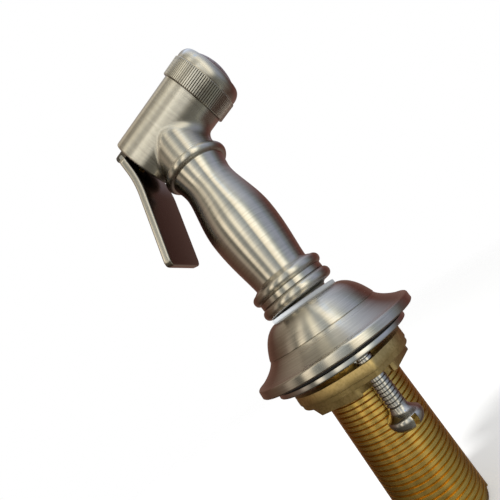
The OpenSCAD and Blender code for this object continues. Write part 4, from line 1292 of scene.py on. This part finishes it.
GROUND = ((-180, (0.05, 0.04, 0.03)), (-130, (0.1, 0.09, 0.07)), (-85, (0.14, 0.13, 0.11)),
          (-45, (0.22, 0.22, 0.19)), (-15, (0.22, 0.23, 0.21)), (12, (0.18, 0.16, 0.14)),
          (50, (0.08, 0.045, 0.035)), (95, (0.20, 0.17, 0.15)), (140, (0.04, 0.02, 0.012)))
# Heights in degrees over which the ground meets the walls, and the walls the ceiling
GROUND_TO_WALLS = (-28, -8)
WALLS_TO_CEILING = (26, 84)
# Shelves in front of the object: a height in degrees, and how bright the walls are there
SHELVES = ((-12, 0.9), (0, 0.8), (8, 1.0), (13, 1.05), (19, 1.25), (25, 1.25), (31, 0.68), (43, 0.68),
           (51, 1.1), (58, 1.2), (68, 0.7), (80, 0.5))
# Turns between which the shelves fade in and out
SHELVES_AT = ((-144, 0), (-132, 1), (-68, 1), (-56, 0))
# A ramp holds tones of up to 1, so they are kept as a share of this
BRIGHTEST = 2.0
DOME_R = 800
WINDOW_AT = (0.41, -0.34, 0.85)
WINDOW_TONE = (0.35, 0.75, 1.5)
FLOOR_GAP = 0.3
FLOOR_R = 2000
CAMERA_AT = (23.6, -148.3, 18.39)
CAMERA_RIGHT = (0.78070, 0.27478, -0.56124)
CAMERA_UP = (0.59553, -0.05506, 0.80144)
CAMERA_LENS = 26.99
LAMP_AT = (-0.45, -0.2, 0.5)
WHITE = (1, 1, 1, 1)


def tone_ramp(t, turn, stops):
    """A ramp of tones by a share of the whole turn."""
    node = t.add("ShaderNodeValToRGB", {"Fac": turn})
    marks = node.color_ramp.elements
    while len(marks) < len(stops):
        marks.new(0.5)
    for point, (degrees, tone) in zip(marks, stops):
        point.position = (degrees + 180) / 360
        point.color = rgba([c / BRIGHTEST for c in tone])
    return node.outputs["Color"]


def make_walls():
    """A round studio of soft tones, which only the metal's reflections see."""
    outline = arc((0, 0), (DOME_R, DOME_R), -90, 90, 48)
    walls = weld(add_object("studio_walls", *turned_grid(outline, closed=False, steps=STAGE_STEPS)))
    material = bpy.data.materials.new("studio_wall")
    material.use_nodes = True
    material.node_tree.nodes.clear()
    t = Tree(material.node_tree)
    way = t.vector("NORMALIZE", t.place())
    x, y, z = t.add("ShaderNodeSeparateXYZ", {0: way}).outputs
    rise = t.calc("ARCSINE", z)
    turn, height = (t.calc("MULTIPLY_ADD", angle, 1 / (2 * math.pi), 0.5)
                    for angle in (t.calc("ARCTAN2", y, x), rise))
    walls_tone, ceiling_tone, ground_tone = (
        tone_ramp(t, turn, stops + ((stops[0][0] + 360, stops[0][1]),)) for stops in (WALLS, CEILING, GROUND))
    whole = t.mix(t.spread(rise, *map(math.radians, WALLS_TO_CEILING)), walls_tone, ceiling_tone)
    whole = t.mix(t.spread(rise, *map(math.radians, GROUND_TO_WALLS)), ground_tone, whole)
    shelves = tone_ramp(t, height, [(degrees, (level,) * 3) for degrees, level in SHELVES])
    shelved = t.mix(1.0, t.mix(1.0, whole, shelves, "MULTIPLY"), rgba((BRIGHTEST,) * 3), "MULTIPLY")
    whole = t.mix(tone_ramp(t, turn, [(degrees, (level * BRIGHTEST,) * 3) for degrees, level in SHELVES_AT]),
                  whole, shelved)
    gap = t.vector("DISTANCE", way, Vector(WINDOW_AT).normalized())
    whole = t.mix(t.spread(gap, 0.05, 0.11, 1.0, 0.0), whole, rgba([c / BRIGHTEST for c in WINDOW_TONE]))
    light = t.out("ShaderNodeEmission", {"Color": whole, "Strength": BRIGHTEST * studio().wall_level})
    t.add("ShaderNodeOutputMaterial", {"Surface": light})
    material.cycles.emission_sampling = "NONE"
    walls.data.materials.append(material)
    walls.data.shade_smooth()
    for ray in ("camera", "diffuse", "transmission", "volume_scatter", "shadow"):
        setattr(walls, "visible_" + ray, False)


def make_floor():
    """A plain pale floor that fades into the white behind it."""
    low = -SHANK_DROP - FLOOR_GAP
    outline = [(0, low), (FLOOR_R * 0.15, low), (FLOOR_R * 0.5, low), (FLOOR_R, low)]
    floor = weld(add_object("studio_floor", *turned_grid(outline, closed=False, steps=STAGE_STEPS)))
    material, t, shader = new_material("floor")
    here = t.place()
    tone = studio().floor
    t.feed(shader, {
        "Base Color": t.mix(t.noise(here, 90.0, 4.0), rgba(tone, 0.985), rgba(tone)), "Roughness": 0.9,
        "Specular IOR Level": 0.0, "Alpha": t.spread(t.vector("LENGTH", here), 0.12, 0.6, 1.0, 0.0),
        "Emission Color": WHITE,
        "Emission Strength": t.calc("MULTIPLY", t.ray("Is Camera Ray"), studio().floor_lift)})
    floor.data.materials.append(material)
    floor.visible_glossy = False


def make_light():
    """Plain light from all sides and one soft lamp, with white behind the object."""
    world = bpy.data.worlds.new("studio")
    bpy.context.scene.world = world
    world.use_nodes = True
    t = Tree(world.node_tree)
    back = next(n for n in world.node_tree.nodes if n.type == "BACKGROUND")
    seen = t.calc("MAXIMUM", t.ray("Is Camera Ray"), t.ray("Is Glossy Ray"))
    seen = t.calc("MAXIMUM", seen, t.ray("Is Transmission Ray"))
    t.feed(back, {"Color": WHITE, "Strength": t.spread(seen, 0.0, 1.0, studio().sky_level, 1.0)})
    world.cycles.sampling_method = "NONE"
    lamp = bpy.data.lights.new("soft_lamp", "AREA")
    lamp.shape = "DISK"
    lamp.size = 0.16
    lamp.energy = studio().lamp_power
    holder = link(bpy.data.objects.new("soft_lamp", lamp))
    holder.location = LAMP_AT
    holder.rotation_euler = Vector(LAMP_AT).to_track_quat("Z", "Y").to_euler()
    holder.visible_glossy = False


def make_camera():
    scene = bpy.context.scene
    data = bpy.data.cameras.new("camera")
    data.lens = CAMERA_LENS
    data.sensor_width = 36
    data.clip_start = 0.005
    data.clip_end = 20
    right, up = Vector(CAMERA_RIGHT).normalized(), Vector(CAMERA_UP).normalized()
    place = Matrix((right, up, right.cross(up))).transposed().to_4x4()
    place.translation = MM * Vector(CAMERA_AT)
    camera = bpy.data.objects.new("camera", data)
    camera.matrix_world = place
    scene.camera = link(camera)
    scene.view_settings.view_transform = "Standard"


# ---- Operators ----


class PieceOperator:
    """What the piece operators share: they run their makers in order."""

    bl_options = {"REGISTER"}
    makers = ()

    def execute(self, context):
        for make in self.makers:
            make()
        return {"FINISHED"}


class SPRAYER_OT_escutcheon(PieceOperator, bpy.types.Operator):
    """Turn the flared base and the bell"""
    bl_idname = "sprayer.escutcheon"
    bl_label = "Escutcheon"
    makers = (make_escutcheon,)


class SPRAYER_OT_shank(PieceOperator, bpy.types.Operator):
    """Turn the shank and cut its thread"""
    bl_idname = "sprayer.shank"
    bl_label = "Threaded shank"
    makers = (make_shank,)


class SPRAYER_OT_bush(PieceOperator, bpy.types.Operator):
    """Mould the guide bush"""
    bl_idname = "sprayer.bush"
    bl_label = "Guide bush"
    makers = (make_bush,)


class SPRAYER_OT_clamp(PieceOperator, bpy.types.Operator):
    """Make the clamp washer and the gasket"""
    bl_idname = "sprayer.clamp"
    bl_label = "Washer and gasket"
    makers = (make_clamp,)


class SPRAYER_OT_lock_nut(PieceOperator, bpy.types.Operator):
    """Cast the lock nut"""
    bl_idname = "sprayer.lock_nut"
    bl_label = "Lock nut"
    makers = (make_lock_nut,)


class SPRAYER_OT_jack_screws(PieceOperator, bpy.types.Operator):
    """Make the two jack screws"""
    bl_idname = "sprayer.jack_screws"
    bl_label = "Jack screws"
    makers = (make_jack_screws,)


class SPRAYER_OT_handle(PieceOperator, bpy.types.Operator):
    """Turn the hose coupling and the handle sleeve"""
    bl_idname = "sprayer.handle"
    bl_label = "Coupling and handle"
    makers = (make_coupling, make_handle)


class SPRAYER_OT_head(PieceOperator, bpy.types.Operator):
    """Shape the head body, its bonnet and the lever pin"""
    bl_idname = "sprayer.head"
    bl_label = "Head and bonnet"
    makers = (make_head, make_bonnet)


class SPRAYER_OT_lever(PieceOperator, bpy.types.Operator):
    """Bend the squeeze lever"""
    bl_idname = "sprayer.lever"
    bl_label = "Lever"
    makers = (make_lever,)


class SPRAYER_OT_nozzle(PieceOperator, bpy.types.Operator):
    """Make the knurled cap and the drilled spray face"""
    bl_idname = "sprayer.nozzle"
    bl_label = "Cap and spray face"
    makers = (make_nozzle_cap, make_spray_face)


class SPRAYER_OT_inner(PieceOperator, bpy.types.Operator):
    """Finish the valve, tube, seals and screen inside"""
    bl_idname = "sprayer.inner"
    bl_label = "Inner works"
    makers = (make_inner,)


class SPRAYER_OT_stage(PieceOperator, bpy.types.Operator):
    """Set up the floor, walls, light and camera"""
    bl_idname = "sprayer.stage"
    bl_label = "Stage"
    makers = (make_camera, make_walls, make_floor, make_light)


PIECES = (SPRAYER_OT_escutcheon, SPRAYER_OT_shank, SPRAYER_OT_bush, SPRAYER_OT_clamp, SPRAYER_OT_lock_nut,
          SPRAYER_OT_jack_screws, SPRAYER_OT_handle, SPRAYER_OT_head, SPRAYER_OT_lever, SPRAYER_OT_nozzle,
          SPRAYER_OT_inner, SPRAYER_OT_stage)


class SPRAYER_PT_panel(bpy.types.Panel):
    """Lists the sprayer's pieces and settings"""
    bl_idname = "SPRAYER_PT_panel"
    bl_label = "Hand Sprayer"
    bl_space_type = "VIEW_3D"
    bl_region_type = "UI"
    bl_category = "Sprayer"

    def draw(self, context):
        for kind in PIECES:
            self.layout.operator(kind.bl_idname)
        for group in (sizes(), finishes(), studio()):
            box = self.layout.box()
            for name in group.bl_rna.properties.keys():
                if name not in ("rna_type", "name"):
                    box.prop(group, name)


SETTINGS = (("sprayer_sizes", SprayerSizes), ("sprayer_finishes", SprayerFinishes),
            ("studio_look", StudioLook))


def register():
    for name, group in SETTINGS:
        bpy.utils.register_class(group)
        setattr(bpy.types.Scene, name, PointerProperty(type=group))
    for kind in PIECES + (SPRAYER_PT_panel,):
        bpy.utils.register_class(kind)


def unregister():
    for kind in (SPRAYER_PT_panel,) + PIECES[::-1]:
        bpy.utils.unregister_class(kind)
    for name, group in SETTINGS[::-1]:
        delattr(bpy.types.Scene, name)
        bpy.utils.unregister_class(group)


def main():
    register()
    for kind in PIECES:
        group, name = kind.bl_idname.split(".")
        getattr(getattr(bpy.ops, group), name)()


if __name__ == "__main__":
    main()
